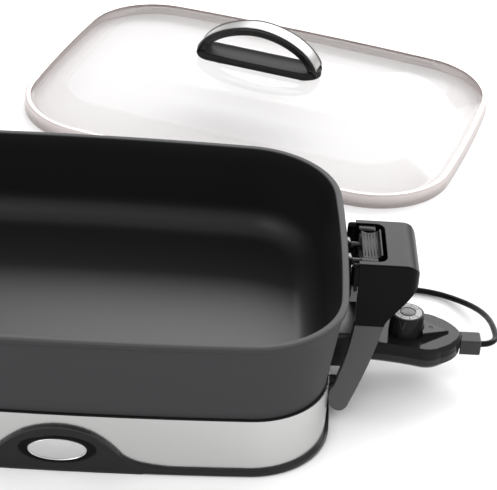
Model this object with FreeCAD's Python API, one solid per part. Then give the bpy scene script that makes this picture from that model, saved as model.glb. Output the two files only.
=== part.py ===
import FreeCAD
import Part
import math
import os
from FreeCAD import Vector

# Electric skillet with a lift-out pan, a base, two swinging handles, a plug-in heat control and a glass lid.
# Millimetres, +Z up. The origin is the centre of the base's footprint, at table level. The badge faces -Y.

# Pan
RIM_LENGTH = 420.0
RIM_DEPTH = 301.0
RIM_CORNER = 76.0
RIM_HEIGHT = 115.0
RIM_LIP = 1.6
RIM_LIP_HEIGHT = 5.0
LONG_SIDE_RADIUS = 2640.0
SHORT_SIDE_RADIUS = 1430.0
PAN_WALL = 4.0
PAN_FLOOR = 4.5
PAN_DEPTH = 75.0
PAN_FLOOR_RADIUS = 24.0
PAN_TUB_RADIUS = 13.0
PAN_LEDGE = 5.5
PAN_SEAT_GAP = 0.3
PAN_WAIST_INSET = 2.5

# Base
BASE_LENGTH = 402.0
BASE_DEPTH = 297.0
BASE_CORNER = 62.0
BAND_BOTTOM = 5.0
BAND_HEIGHT = 43.6
BAND_THICKNESS = 0.8
SKIRT_WALL = 3.2
SKIRT_LIP = 2.0
SKIRT_RISE = 0.25
FLANGE_WIDTH = 18.0
FLANGE_THICKNESS = 3.0
SHIELD_THICKNESS = 0.8
SHIELD_RIM = 6.0
FOOT_DIAMETER = 16.0
FOOT_HEIGHT = 2.2
FOOT_INSET = (66.0, 17.5)
NOTCH_HALF_WIDTH = 31.0
NOTCH_BOTTOM = 16.0
FIT_GAP = 0.3

# Front arch and badge
ARCH_PROUD = 3.0
ARCH_TOP = 39.8
ARCH_SHOULDER = (27.0, 33.0)
ARCH_FLANK = (39.0, 23.8)
ARCH_HAUNCH = (49.0, 12.8)
ARCH_FLARE = (54.2, 9.2)
ARCH_TOE = (63.0, 6.4)
BADGE_HEIGHT = 20.0
BEZEL_SIZE = (58.0, 25.0)
BADGE_SIZE = (42.0, 18.0)
BEZEL_PROUD = 1.2
BADGE_PROUD = 0.6

# Heating element and its socket
ELEMENT_DIAMETER = 6.6
ELEMENT_HALF = (118.0, 84.0)
ELEMENT_CORNER = 46.0
ELEMENT_GAP = 0.2
PIN_SPACING = 20.0
PIN_DIAMETER = 5.0
PIN_REACH = 224.5
SLEEVE_DIAMETER = 6.8
SENSOR_DIAMETER = 5.0
SENSOR_TIP = 150.0
GUARD_HALF_WIDTH = 25.0
GUARD_INNER = 196.5
GUARD_OUTER = 230.0
GUARD_HEIGHT = 31.0
GUARD_WALL = 3.0

# Wire loops on the pan's ends
LOOP_DROP = 6.8
LOOP_HALF_WIDTH = 11.7
LOOP_WIRE = 4.0
LOOP_REACH = 231.0
LOOP_CORNER = 6.0
LOOP_BOSS_REACH = 213.0
LOOP_BOSS_SIZE = 9.0
LOOP_BOSS_ROUND = 2.5

# Handles, with sizes for the one at +X
PIVOT_X = 209.0
PIVOT_Z = 16.5
PIVOT_DIAMETER = 5.0
HINGE_BOSS_RADIUS = 8.2
HINGE_GAP = 0.4
LUG_INNER = 46.0
LUG_OUTER = 55.0
GRIP_INNER = 217.0
GRIP_OUTER = 264.4
GRIP_TOP = 118.0
GRIP_HALF_WIDTH = 33.0
GRIP_CREASE = 62.5
GRIP_WALL = 5.0
GRIP_ROOF = 6.5
GRIP_SHOULDER = 11.0
GRIP_PLAN_ROUND = 8.0
GRIP_EDGE = 1.2
ARM_THICKNESS = 7.0
ARM_SPLAY = 0.70
RECESS_OUTER = 239.0
RECESS_HALF_WIDTH = 29.0
RECESS_CORNER = 7.0
YOKE_THICKNESS = 4.5

# Latch button in each grip
BUTTON_HALF_WIDTH = 19.0
BUTTON_LENGTH = 15.0
BUTTON_TOP = 116.8
BUTTON_THICKNESS = 3.0
BUTTON_LIP = 1.6
BUTTON_STEM = 2.0
BUTTON_TRAVEL = 2.5
TOE_LENGTH = 4.0
TOE_THICKNESS = 2.6
TOE_GAP = 0.6

# Heat control
PROBE_FRONT = 214.0
PROBE_NECK_END = 232.0
PROBE_NOSE = 307.0
PROBE_NECK_HALF = 20.0
PROBE_HALF = 27.5
PROBE_WIDEST = 281.0
PROBE_WALL = 2.6
PROBE_BOTTOM = 20.3
PROBE_PARTING = 29.0
PROBE_TOP = 38.2
DIAL_X = 262.2
DIAL_DIAMETER = 27.0
DIAL_HEIGHT = 17.0
DIAL_GAP = 0.4
DIAL_SHAFT_DIAMETER = 6.0
CAP_THICKNESS = 1.0
RELIEF_LENGTH = 16.5
RELIEF_SINK = 1.2
RELIEF_HEIGHT = 13.0
RELIEF_WIDTH = 15.0
RELIEF_ROUND = 1.6

# Cord
CORD_DIAMETER = 5.0
CORD_FLOOR_GAP = 0.3
COIL_CENTRE = (70.0, 211.0)
COIL_RADIUS = 33.0
COIL_PITCH = 5.7
COIL_IN_TURNS = 1.5
COIL_CLIMB_TURNS = 0.5
COIL_OUT_TURNS = 1.5
TIE_WIDTH = 9.0
TIE_WALL = 1.0
TIE_UNDER = 0.25
PLUG_LEAD = 16.0
PLUG_NECK = 14.0
PLUG_BODY = 30.0
PLUG_WIDTH = 24.0
PLUG_HEIGHT = 15.0
BLADE_LENGTH = 17.0
BLADE_SPACING = 12.7

# Lid, lying flat behind the pan
LID_PLACE = (149.2, 435.0)
LID_TURN = -18.6
LID_OVERHANG = 1.0
LID_SKIRT = 13.5
LID_SKIRT_WALL = 0.8
LID_FOLD = 5.0
GLASS_THICKNESS = 4.0
GLASS_RISE = 31.0
HANDLE_BASE_SIZE = (118.0, 34.0)
HANDLE_BASE_HEIGHT = 7.0
ARCH_SPAN = 104.0
ARCH_RISE = 41.0
ARCH_THICKNESS = 9.0
ARCH_WIDTH = 22.0
TRIM_THICKNESS = 1.2
TRIM_WIDTH = 15.0
LID_SCREW_SPACING = 84.0

BAND_TOP = BAND_BOTTOM + BAND_HEIGHT
PAN_SEAT = BAND_TOP + PAN_SEAT_GAP
FLOOR_TOP = RIM_HEIGHT - PAN_DEPTH
FLOOR_UNDER = FLOOR_TOP - PAN_FLOOR
TERMINAL_Z = FLOOR_UNDER - ELEMENT_DIAMETER / 2 - ELEMENT_GAP
LOOP_Z = RIM_HEIGHT - LOOP_DROP
UP = Vector(0, 0, 1)
ALONG_X = Vector(1, 0, 0)
ALONG_Y = Vector(0, 1, 0)


class Outline:
    """A rectangle with bowed sides and round corners, all tangent. Half sizes are at the middles of the sides."""

    def __init__(self, half_x, half_y, corner):
        self.half_x = half_x
        self.half_y = half_y
        self.corner = corner
        self.long_radius = LONG_SIDE_RADIUS
        self.short_radius = SHORT_SIDE_RADIUS

    def inset(self, distance):
        """The outline drawn in by one distance all round."""
        inner = Outline(self.half_x - distance, self.half_y - distance, self.corner - distance)
        inner.long_radius = self.long_radius - distance
        inner.short_radius = self.short_radius - distance
        return inner

    def corner_points(self):
        """The tangent point on the long side, the corner's middle and the tangent point on the short side."""
        long_centre = Vector(0, self.half_y - self.long_radius, 0)
        short_centre = Vector(self.half_x - self.short_radius, 0, 0)
        reach_a = self.long_radius - self.corner
        reach_b = self.short_radius - self.corner
        between = short_centre - long_centre
        span = between.Length
        along = (reach_a ** 2 - reach_b ** 2 + span ** 2) / (2 * span)
        across = math.sqrt(reach_a ** 2 - along ** 2)
        unit = between / span
        normal = Vector(-unit.y, unit.x, 0)
        candidates = [long_centre + unit * along + normal * (side * across) for side in (1, -1)]
        centre = max(candidates, key=lambda point: point.x + point.y)
        to_long = (centre - long_centre).normalize()
        to_short = (centre - short_centre).normalize()
        middle = (to_long + to_short).normalize()
        return [centre + direction * self.corner for direction in (to_long, middle, to_short)]

    def wire(self, z):
        """The closed wire at a height: eight tangent arcs."""
        on_long, middle, on_short = self.corner_points()
        edges = []
        flips = ((1, 1), (-1, 1), (-1, -1), (1, -1))
        corners = []
        for sx, sy in flips:
            points = [Vector(sx * p.x, sy * p.y, z) for p in (on_short, middle, on_long)]
            corners.append(points if sx * sy > 0 else points[::-1])
        sides = [Vector(0, self.half_y, z), Vector(-self.half_x, 0, z)]
        sides += [Vector(0, -self.half_y, z), Vector(self.half_x, 0, z)]
        for index, points in enumerate(corners):
            following = corners[(index + 1) % len(corners)]
            edges.append(Part.Arc(*points).toShape())
            edges.append(Part.Arc(points[2], sides[index], following[0]).toShape())
        return Part.Wire(edges)


def loft(sections, ruled=True):
    """A solid through (outline, height) pairs."""
    return Part.makeLoft([outline.wire(z) for outline, z in sections], True, ruled)


def ring(outer, inner, z0, z1):
    """An upright wall between two outlines."""
    return loft([(outer, z0), (outer, z1)]).cut(loft([(inner, z0 - 1), (inner, z1 + 1)]))


def block(x0, x1, y0, y1, z0, z1):
    """A box between two corners."""
    return Part.makeBox(x1 - x0, y1 - y0, z1 - z0, Vector(x0, y0, z0))


def rod(start, direction, length, diameter):
    """A round bar."""
    return Part.makeCylinder(diameter / 2, length, start, direction)


def plate(points, vector):
    """A prism on a closed polygon."""
    return Part.Face(Part.makePolygon(points + points[:1])).extrude(vector)


def side_face(points, y):
    """A face in the XZ plane, from (x, z) pairs: three pairs in a tuple are an arc, one pair is a corner."""
    edges = []
    last = None
    for item in points:
        if len(item) == 3:
            start, middle, end = [Vector(x, y, z) for x, z in item]
            if last is not None and (last - start).Length > 1e-6:
                edges.append(Part.makeLine(last, start))
            edges.append(Part.Arc(start, middle, end).toShape())
            last = end
        else:
            corner = Vector(item[0], y, item[1])
            if last is not None:
                edges.append(Part.makeLine(last, corner))
            last = corner
    first = edges[0].Vertexes[0].Point
    if (last - first).Length > 1e-6:
        edges.append(Part.makeLine(last, first))
    return Part.Face(Part.Wire(edges))


def stadium(length, width, z):
    """A wire of two straight sides and two half circles, long along X."""
    half = (length - width) / 2
    radius = width / 2
    right = Part.Arc(Vector(half, -radius, z), Vector(half + radius, 0, z), Vector(half, radius, z)).toShape()
    left = Part.Arc(Vector(-half, radius, z), Vector(-half - radius, 0, z), Vector(-half, -radius, z)).toShape()
    top = Part.makeLine(Vector(half, radius, z), Vector(-half, radius, z))
    bottom = Part.makeLine(Vector(-half, -radius, z), Vector(half, -radius, z))
    return Part.Wire([right, top, left, bottom])


def ellipse_prism(size, centre_z, y0, y1):
    """An oval block that faces -Y."""
    curve = Part.Ellipse(Vector(0, 0, 0), size[0] / 2, size[1] / 2).toShape()
    face = Part.Face(Part.Wire([curve]))
    face.rotate(Vector(0, 0, 0), ALONG_X, 90)
    face.translate(Vector(0, y0, centre_z))
    return face.extrude(Vector(0, y1 - y0, 0))


def flip_x(shape):
    """The same piece at the other end."""
    return shape.mirror(Vector(0, 0, 0), ALONG_X)


def both_sides(shape):
    """A piece and its twin across the XZ plane."""
    return [shape, shape.mirror(Vector(0, 0, 0), ALONG_Y)]


def rounded(shape, radius, wanted):
    """Rounds the edges whose middle satisfies a test."""
    edges = [edge for edge in shape.Edges if wanted(edge.CenterOfMass)]
    return shape.makeFillet(radius, edges)


RIM = Outline(RIM_LENGTH / 2, RIM_DEPTH / 2, RIM_CORNER)
BASE = Outline(BASE_LENGTH / 2, BASE_DEPTH / 2, BASE_CORNER)
WAIST = BASE.inset(PAN_WAIST_INSET)
SKIRT_OUTER = BASE.inset(BAND_THICKNESS + 0.1)
SKIRT_INNER = SKIRT_OUTER.inset(SKIRT_WALL)


def quarter_sections(outline, radius, top, steps=4):
    """Sections of a wall that turns inwards on a quarter circle, from a height downwards."""
    sections = []
    for step in range(steps + 1):
        angle = math.pi / 2 * step / steps
        depth = radius * math.sin(angle)
        sections.append((outline.inset(radius * (1 - math.cos(angle))), top - depth))
    return sections[::-1]


def pan_inside(z):
    """The inner outline of the pan's wall where it is straight, at a height between the floor's curve and the rim."""
    share = (z - PAN_SEAT) / (RIM_HEIGHT - PAN_SEAT)
    outer = Outline(
        WAIST.half_x + share * (RIM.half_x - RIM_LIP - WAIST.half_x),
        WAIST.half_y + share * (RIM.half_y - RIM_LIP - WAIST.half_y),
        WAIST.corner + share * (RIM.corner - RIM_LIP - WAIST.corner),
    )
    return outer.inset(PAN_WALL)


def pan_wall_x(z):
    """How far out the pan's end wall stands at a height."""
    return pan_inside(z).half_x + PAN_WALL


def make_pan_shell():
    """The cast pan: lipped rim, leaning walls, a ledge that sits on the base, and a round-edged floor."""
    lip_under = RIM_HEIGHT - RIM_LIP_HEIGHT
    wall_top = pan_inside(RIM_HEIGHT).inset(-PAN_WALL)
    outer = loft([(WAIST, PAN_SEAT), (wall_top, RIM_HEIGHT)])
    lip_start = lip_under - RIM_LIP - PAN_WALL / 4
    in_wall = pan_inside(lip_start).inset(-PAN_WALL * 3 / 4)
    lip = loft([(in_wall, lip_start), (RIM, lip_under)]).fuse(loft([(RIM, lip_under), (RIM, RIM_HEIGHT)]))
    tub_top = PAN_SEAT
    tub = loft(quarter_sections(WAIST.inset(PAN_LEDGE), tub_top - FLOOR_UNDER, tub_top), ruled=False)
    body = outer.fuse(lip).fuse(tub)
    knee = FLOOR_TOP + PAN_FLOOR_RADIUS
    bowl = loft(quarter_sections(pan_inside(knee), PAN_FLOOR_RADIUS, knee), ruled=False)
    mouth = loft([(pan_inside(knee), knee), (pan_inside(RIM_HEIGHT), RIM_HEIGHT)])
    over = loft([(pan_inside(RIM_HEIGHT), RIM_HEIGHT), (pan_inside(RIM_HEIGHT), RIM_HEIGHT + 1)])
    shell = body.cut(bowl).cut(mouth).cut(over).removeSplitter()
    inner_x = pan_wall_x(LOOP_Z) - PAN_WALL / 2
    half = LOOP_BOSS_SIZE / 2
    bosses = []
    for y in (LOOP_HALF_WIDTH, -LOOP_HALF_WIDTH):
        boss = block(inner_x, LOOP_BOSS_REACH, y - half, y + half, LOOP_Z - half, LOOP_Z + half)
        boss = rounded(boss, LOOP_BOSS_ROUND, lambda p: abs(abs(p.y - y) - half) < 0.01 and abs(p.z - LOOP_Z) > 1)
        bosses += [boss, flip_x(boss)]
    return shell.multiFuse(bosses)


def make_loop():
    """A wire loop that stands out of the pan's +X end."""
    y = LOOP_HALF_WIDTH
    bend = LOOP_CORNER
    low = bend * (1 - math.sqrt(0.5))
    points = [
        Vector(LOOP_BOSS_REACH, -y, LOOP_Z),
        Vector(LOOP_REACH - bend, -y, LOOP_Z),
        Vector(LOOP_REACH - low, -y + low, LOOP_Z),
        Vector(LOOP_REACH, -y + bend, LOOP_Z),
        Vector(LOOP_REACH, y - bend, LOOP_Z),
        Vector(LOOP_REACH - low, y - low, LOOP_Z),
        Vector(LOOP_REACH - bend, y, LOOP_Z),
        Vector(LOOP_BOSS_REACH, y, LOOP_Z),
    ]
    edges = [
        Part.makeLine(points[0], points[1]),
        Part.Arc(points[1], points[2], points[3]).toShape(),
        Part.makeLine(points[3], points[4]),
        Part.Arc(points[4], points[5], points[6]).toShape(),
        Part.makeLine(points[6], points[7]),
    ]
    profile = Part.Wire([Part.makeCircle(LOOP_WIRE / 2, points[0], ALONG_X)])
    return Part.Wire(edges).makePipeShell([profile], True, False)


def make_element():
    """The sheathed element: a long ring under the pan's floor whose ends run out to the socket."""
    half_x, half_y = ELEMENT_HALF
    bend = ELEMENT_CORNER
    z = TERMINAL_Z
    low = bend * (1 - math.sqrt(0.5))
    exit_bend = PIN_SPACING / 2
    exit_low = exit_bend * (1 - math.sqrt(0.5))
    reach = WAIST.half_x - PAN_LEDGE - PAN_TUB_RADIUS
    half = [
        (Vector(reach, PIN_SPACING / 2, z), Vector(half_x + exit_bend, PIN_SPACING / 2, z)),
        (
            Vector(half_x + exit_bend, PIN_SPACING / 2, z),
            Vector(half_x + exit_low, PIN_SPACING / 2 + exit_low, z),
            Vector(half_x, PIN_SPACING / 2 + exit_bend, z),
        ),
        (Vector(half_x, PIN_SPACING / 2 + exit_bend, z), Vector(half_x, half_y - bend, z)),
        (
            Vector(half_x, half_y - bend, z),
            Vector(half_x - low, half_y - low, z),
            Vector(half_x - bend, half_y, z),
        ),
        (Vector(half_x - bend, half_y, z), Vector(bend - half_x, half_y, z)),
        (
            Vector(bend - half_x, half_y, z),
            Vector(low - half_x, half_y - low, z),
            Vector(-half_x, half_y - bend, z),
        ),
    ]
    across = [tuple(Vector(p.x, -p.y, p.z) for p in reversed(item)) for item in reversed(half)]
    bridge = [(half[-1][-1], across[0][0])]
    edges = []
    for item in half + bridge + across:
        edges.append(Part.Arc(*item).toShape() if len(item) == 3 else Part.makeLine(*item))
    profile = Part.Wire([Part.makeCircle(ELEMENT_DIAMETER / 2, half[0][0], ALONG_X)])
    return Part.Wire(edges).makePipeShell([profile], True, False)


def make_terminals():
    """Two contact pins that carry on from the element's ends."""
    start = WAIST.half_x - PAN_LEDGE - PAN_TUB_RADIUS
    pin = rod(Vector(start, PIN_SPACING / 2, TERMINAL_Z), ALONG_X, PIN_REACH - start, PIN_DIAMETER)
    return both_sides(pin)


def make_sleeve():
    """The closed tube under the floor that the sensor slides into."""
    length = GUARD_INNER - SENSOR_TIP
    outer = rod(Vector(SENSOR_TIP, 0, TERMINAL_Z), ALONG_X, length, SLEEVE_DIAMETER)
    bore = SENSOR_DIAMETER + 2 * FIT_GAP
    inner = rod(Vector(SENSOR_TIP + FIT_GAP * 3, 0, TERMINAL_Z), ALONG_X, length, bore)
    return outer.cut(inner)


def make_guard():
    """The socket guard: a box round the pins, open outwards, whose back carries them."""
    z0 = TERMINAL_Z - GUARD_HEIGHT / 2
    z1 = z0 + GUARD_HEIGHT
    body = block(GUARD_INNER, GUARD_OUTER, -GUARD_HALF_WIDTH, GUARD_HALF_WIDTH, z0, z1)
    body = rounded(body, GUARD_WALL, lambda p: abs(abs(p.y) - GUARD_HALF_WIDTH) < 0.1 and abs(p.z - TERMINAL_Z) > 5)
    room = block(
        GUARD_INNER + GUARD_WALL,
        GUARD_OUTER + 1,
        GUARD_WALL - GUARD_HALF_WIDTH,
        GUARD_HALF_WIDTH - GUARD_WALL,
        z0 + GUARD_WALL,
        z1 - GUARD_WALL,
    )
    body = body.cut(room)
    for y in (PIN_SPACING / 2, -PIN_SPACING / 2):
        body = body.cut(rod(Vector(GUARD_INNER - 1, y, TERMINAL_Z), ALONG_X, GUARD_WALL + 2, PIN_DIAMETER))
    bore = SENSOR_DIAMETER + 2 * FIT_GAP
    return body.cut(rod(Vector(GUARD_INNER - 1, 0, TERMINAL_Z), ALONG_X, GUARD_WALL + 2, bore))


def make_guard_screws():
    """Two screws through the back of the guard into the pan."""
    head = rod(Vector(GUARD_INNER + GUARD_WALL, 0, 0), ALONG_X, 1.6, 5.0)
    shape = head.translated(Vector(0, (GUARD_HALF_WIDTH + PIN_SPACING / 2) / 2, TERMINAL_Z))
    return both_sides(shape)


def arch_face(y):
    """The bell-shaped front of the skirt, as a face in an XZ plane."""
    right = [ARCH_SHOULDER, ARCH_FLANK, ARCH_HAUNCH, ARCH_FLARE, ARCH_TOE]
    left = [(-x, z) for x, z in right]
    points = [
        (ARCH_TOE[0], SKIRT_RISE),
        (right[4], right[3], right[2]),
        (right[2], right[1], right[0]),
        (right[0], (0.0, ARCH_TOP), left[0]),
        (left[0], left[1], left[2]),
        (left[2], left[3], left[4]),
        (-ARCH_TOE[0], SKIRT_RISE),
    ]
    return side_face(points, y)


def make_skirt():
    """The moulded base frame: upright wall, outer lip, inner flange, front arch, hinge lugs and the probe notch."""
    wall = ring(SKIRT_OUTER, SKIRT_INNER, SKIRT_RISE, BAND_TOP)
    lip = ring(BASE.inset(-SKIRT_LIP), SKIRT_INNER, SKIRT_RISE, BAND_BOTTOM - 0.1)
    flange = ring(SKIRT_OUTER, SKIRT_INNER.inset(FLANGE_WIDTH), SKIRT_RISE, SKIRT_RISE + FLANGE_THICKNESS)
    body = wall.fuse(lip).fuse(flange)
    for foot in make_feet():
        body = body.cut(foot)
    far = -BASE.half_y - 2 * ARCH_PROUD
    arch = arch_face(far).extrude(Vector(0, BASE.half_y / 2, 0))
    skin = ring(BASE.inset(-ARCH_PROUD), SKIRT_OUTER, SKIRT_RISE, ARCH_TOP + 1)
    body = body.fuse(arch.common(skin))
    pocket = ellipse_prism(BEZEL_SIZE, BADGE_HEIGHT, far, BADGE_PROUD - BASE.half_y)
    body = body.cut(pocket)
    for side in (1, -1):
        root_x = BASE.half_x - 4.0
        for lug in both_sides(rod(Vector(PIVOT_X, LUG_INNER, PIVOT_Z), ALONG_Y, LUG_OUTER - LUG_INNER,
                                  2 * HINGE_BOSS_RADIUS)):
            low, high = lug.BoundBox.YMin, lug.BoundBox.YMax
            web = block(root_x, PIVOT_X, low, high, PIVOT_Z - HINGE_BOSS_RADIUS, PIVOT_Z + HINGE_BOSS_RADIUS)
            piece = lug.fuse(web)
            hole = rod(Vector(PIVOT_X, low - 1, PIVOT_Z), ALONG_Y, high - low + 2, PIVOT_DIAMETER)
            piece = piece.cut(hole)
            body = body.fuse(piece if side > 0 else flip_x(piece))
    notch = block(0, RIM_LENGTH, -NOTCH_HALF_WIDTH, NOTCH_HALF_WIDTH, NOTCH_BOTTOM, RIM_HEIGHT)
    notch = notch.common(block(BASE.half_x - 20, RIM_LENGTH, -RIM_DEPTH, RIM_DEPTH, 0, RIM_HEIGHT))
    return body.cut(notch).removeSplitter()


def make_band():
    """The steel band round the base, cut away for the arch, the hinge lugs and the heat control."""
    band = ring(BASE, BASE.inset(BAND_THICKNESS), BAND_BOTTOM, BAND_TOP)
    arch = arch_face(-BASE.half_y - 2 * ARCH_PROUD).extrude(Vector(0, BASE.half_y / 2, 0))
    band = band.cut(arch)
    margin = 0.5
    for side in (1, -1):
        for low in (LUG_INNER, -LUG_OUTER):
            high = low + LUG_OUTER - LUG_INNER
            x0, x1 = sorted((side * BASE.half_x / 2, side * RIM_LENGTH))
            low_z = PIVOT_Z - HINGE_BOSS_RADIUS - margin
            high_z = PIVOT_Z + HINGE_BOSS_RADIUS + margin
            band = band.cut(block(x0, x1, low - margin, high + margin, low_z, high_z))
    notch = NOTCH_HALF_WIDTH
    return band.cut(block(BASE.half_x / 2, RIM_LENGTH, -notch, notch, NOTCH_BOTTOM, RIM_HEIGHT))


def make_bezel():
    """The glossy oval ring in the arch."""
    front = -BASE.half_y - ARCH_PROUD - BEZEL_PROUD
    outer = ellipse_prism((BEZEL_SIZE[0] - 0.2, BEZEL_SIZE[1] - 0.2), BADGE_HEIGHT, front, BADGE_PROUD - BASE.half_y)
    return outer.cut(ellipse_prism(BADGE_SIZE, BADGE_HEIGHT, front - 1, -BASE.half_y))


def make_badge():
    """The bare oval plate inside the ring."""
    front = -BASE.half_y - ARCH_PROUD - BADGE_PROUD
    return ellipse_prism((BADGE_SIZE[0] - 0.2, BADGE_SIZE[1] - 0.2), BADGE_HEIGHT, front, -BASE.half_y)


def make_shield():
    """The heat shield: a shallow tray that lies on the skirt's flange, with slots for air."""
    z0 = SKIRT_RISE + FLANGE_THICKNESS + 0.1
    edge = SKIRT_INNER.inset(2.0)
    tray = loft([(edge, z0), (edge, z0 + SHIELD_RIM)])
    room = edge.inset(SHIELD_THICKNESS)
    tray = tray.cut(loft([(room, z0 + SHIELD_THICKNESS), (room, z0 + SHIELD_RIM + 1)]))
    for column in range(-3, 4):
        for row in (-1, 1):
            slot = Part.Face(stadium(34.0, 6.0, z0 - 1)).extrude(Vector(0, 0, SHIELD_THICKNESS + 2))
            slot.translate(Vector(column * 42.0, row * 40.0, 0))
            tray = tray.cut(slot)
    return tray


def foot_places():
    """The four feet's centres."""
    x = BASE.half_x - FOOT_INSET[0]
    y = BASE.half_y - FOOT_INSET[1]
    return [(sx * x, sy * y) for sx in (1, -1) for sy in (1, -1)]


def make_feet():
    """Four rubber feet, each sunk into a pocket under the flange."""
    feet = []
    for x, y in foot_places():
        feet.append(rod(Vector(x, y, 0), UP, FOOT_HEIGHT, FOOT_DIAMETER))
    return feet


def make_base_screws():
    """Four screws that hold the heat shield down on the flange."""
    z = SKIRT_RISE + FLANGE_THICKNESS + 0.1 + SHIELD_THICKNESS
    return [rod(Vector(x, y, z), UP, 2.0, 7.0) for x, y in foot_places()]


def make_hinge_pins():
    """Four steel pins, each fast in a lug and free in the foot of an arm."""
    pins = []
    length = ARM_THICKNESS + LUG_OUTER - LUG_INNER
    for side in (1, -1):
        pin = rod(Vector(side * PIVOT_X, LUG_INNER, PIVOT_Z), ALONG_Y, length, PIVOT_DIAMETER)
        pins += both_sides(pin)
    return pins


def slanted_slab(offset, thickness):
    """The space between two planes that splay outwards below the grip, running along X."""
    top = RIM_HEIGHT
    crease = GRIP_CREASE
    y0 = -GRIP_HALF_WIDTH + offset
    low_y = y0 - ARM_SPLAY * crease
    points = [
        Vector(0, y0, top),
        Vector(0, y0, crease),
        Vector(0, low_y, 0),
        Vector(0, low_y + thickness, 0),
        Vector(0, y0 + thickness, crease),
        Vector(0, y0 + thickness, top),
    ]
    return plate(points, Vector(RIM_LENGTH, 0, 0))


def arm_profile():
    """One arm seen from the side: it narrows and curves in from the grip to the round foot at the pivot."""
    foot = HINGE_BOSS_RADIUS
    diagonal = foot * math.sqrt(0.5)
    return side_face([
        ((241.0, GRIP_CREASE), (232.0, 41.5), (PIVOT_X + diagonal, PIVOT_Z - diagonal)),
        (
            (PIVOT_X + diagonal, PIVOT_Z - diagonal),
            (PIVOT_X, PIVOT_Z - foot),
            (PIVOT_X - foot, PIVOT_Z),
        ),
        ((PIVOT_X - foot, PIVOT_Z), (207.6, 29.5), (GRIP_INNER + 1.5, GRIP_CREASE)),
        (GRIP_INNER + 1.5, GRIP_CREASE + 8),
        (241.0, GRIP_CREASE + 8),
    ], -RIM_DEPTH)


def make_handle_frame():
    """The satin frame: two splayed arms, their bosses, and the yoke inside the grip that carries the latch."""
    prism = arm_profile().extrude(Vector(0, 2 * RIM_DEPTH, 0))
    slab = slanted_slab(0.6, ARM_THICKNESS)
    arm = prism.common(slab)
    arm = arm.cut(block(0, RIM_LENGTH, -RIM_DEPTH, 0, GRIP_CREASE - 0.2, RIM_HEIGHT))
    boss_start = LUG_OUTER + HINGE_GAP
    boss = rod(Vector(PIVOT_X, -boss_start, PIVOT_Z), -ALONG_Y, 30.0, 2 * HINGE_BOSS_RADIUS)
    boss = boss.common(slanted_slab(0.6, RIM_DEPTH))
    arm = arm.cut(block(0, RIM_LENGTH, -boss_start, 0, 0, PIVOT_Z + HINGE_BOSS_RADIUS + 2)).fuse(boss)
    depth = ARM_THICKNESS + 2 * HINGE_GAP
    bore = rod(Vector(PIVOT_X, -boss_start + 1, PIVOT_Z), -ALONG_Y, depth, PIVOT_DIAMETER + 0.1)
    arm = arm.cut(bore)
    post_y = GRIP_HALF_WIDTH - GRIP_WALL - 0.2
    post = block(220.0, 232.0, -post_y, -post_y + 4.0, GRIP_CREASE - 6, 100.0)
    foot = block(220.0, 232.0, -post_y - 3, -post_y + 4.0, GRIP_CREASE - 6, GRIP_CREASE - 0.2)
    shelf_top = BUTTON_TOP - BUTTON_THICKNESS - FIT_GAP
    shelf_y = RECESS_HALF_WIDTH - 1.6 - FIT_GAP
    shelf_end = RECESS_OUTER - RECESS_CORNER - FIT_GAP
    shelf = block(220.0, shelf_end, -shelf_y, -BUTTON_HALF_WIDTH + 4.2, 96.0, shelf_top)
    cheek_end = -BUTTON_HALF_WIDTH - 0.7
    cheek = block(220.0, shelf_end, -shelf_y, cheek_end, shelf_top, GRIP_TOP - 1.4)
    side = arm.fuse(post).fuse(foot).fuse(shelf).fuse(cheek)
    yoke = block(220.0, 220.0 + YOKE_THICKNESS, -post_y, post_y, 93.0, 101.5)
    whole = side.fuse(both_sides(side)[1]).fuse(yoke)
    return whole.removeSplitter()


def make_grip():
    """The glossy grip: a hooked block, hollow below for the fingers, with the latch recess in its roof."""
    inner = GRIP_INNER
    outer = GRIP_OUTER
    bend = GRIP_SHOULDER
    low = bend * (1 - math.sqrt(0.5))
    roof_arc = ((outer - bend, GRIP_TOP), (outer - low, GRIP_TOP - low), (outer, GRIP_TOP - bend))
    belly = ((outer, 98.6), (255.0, 84.2), (244.6, 70.5))
    heel = ((244.6, 70.5), (242.2, 66.6), (240.8, GRIP_CREASE))
    face = side_face([(inner, GRIP_TOP), roof_arc, belly, heel, (inner + 1.5, GRIP_CREASE)], -GRIP_HALF_WIDTH)
    body = face.extrude(Vector(0, 2 * GRIP_HALF_WIDTH, 0))
    body = rounded(body, GRIP_EDGE, lambda p: p.z > GRIP_TOP - bend and abs(abs(p.y) - GRIP_HALF_WIDTH) < 0.01)
    plan = block(inner - 5, outer, -GRIP_HALF_WIDTH, GRIP_HALF_WIDTH, GRIP_CREASE - 5, GRIP_TOP + 5)
    plan = rounded(plan, GRIP_PLAN_ROUND, lambda p: abs(p.x - outer) < 0.01 and abs(p.y) > GRIP_HALF_WIDTH - 0.01)
    body = body.common(plan)
    wall = GRIP_WALL
    roof = GRIP_TOP - GRIP_ROOF
    hollow = side_face([
        (inner - 5, roof),
        ((outer - 12, roof), (outer - wall - 1.8, roof - 1.8), (outer - wall, roof - 7)),
        ((outer - wall, 98.0), (251.2, 86.2), (240.6, 72.5)),
        (236.4, GRIP_CREASE - 5),
        (inner - 5, GRIP_CREASE - 5),
    ], wall - GRIP_HALF_WIDTH)
    body = body.cut(hollow.extrude(Vector(0, 2 * (GRIP_HALF_WIDTH - wall), 0)))
    half = RECESS_HALF_WIDTH - 1.6
    recess = block(inner - 5, RECESS_OUTER, -half, half, roof - 3, GRIP_TOP + 1)
    corner = [edge for edge in recess.Edges
              if abs(edge.CenterOfMass.x - RECESS_OUTER) < 0.01 and abs(edge.CenterOfMass.y) > half - 0.01
              and edge.BoundBox.ZLength > 1]
    return body.cut(recess.makeFillet(RECESS_CORNER, corner))


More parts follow.
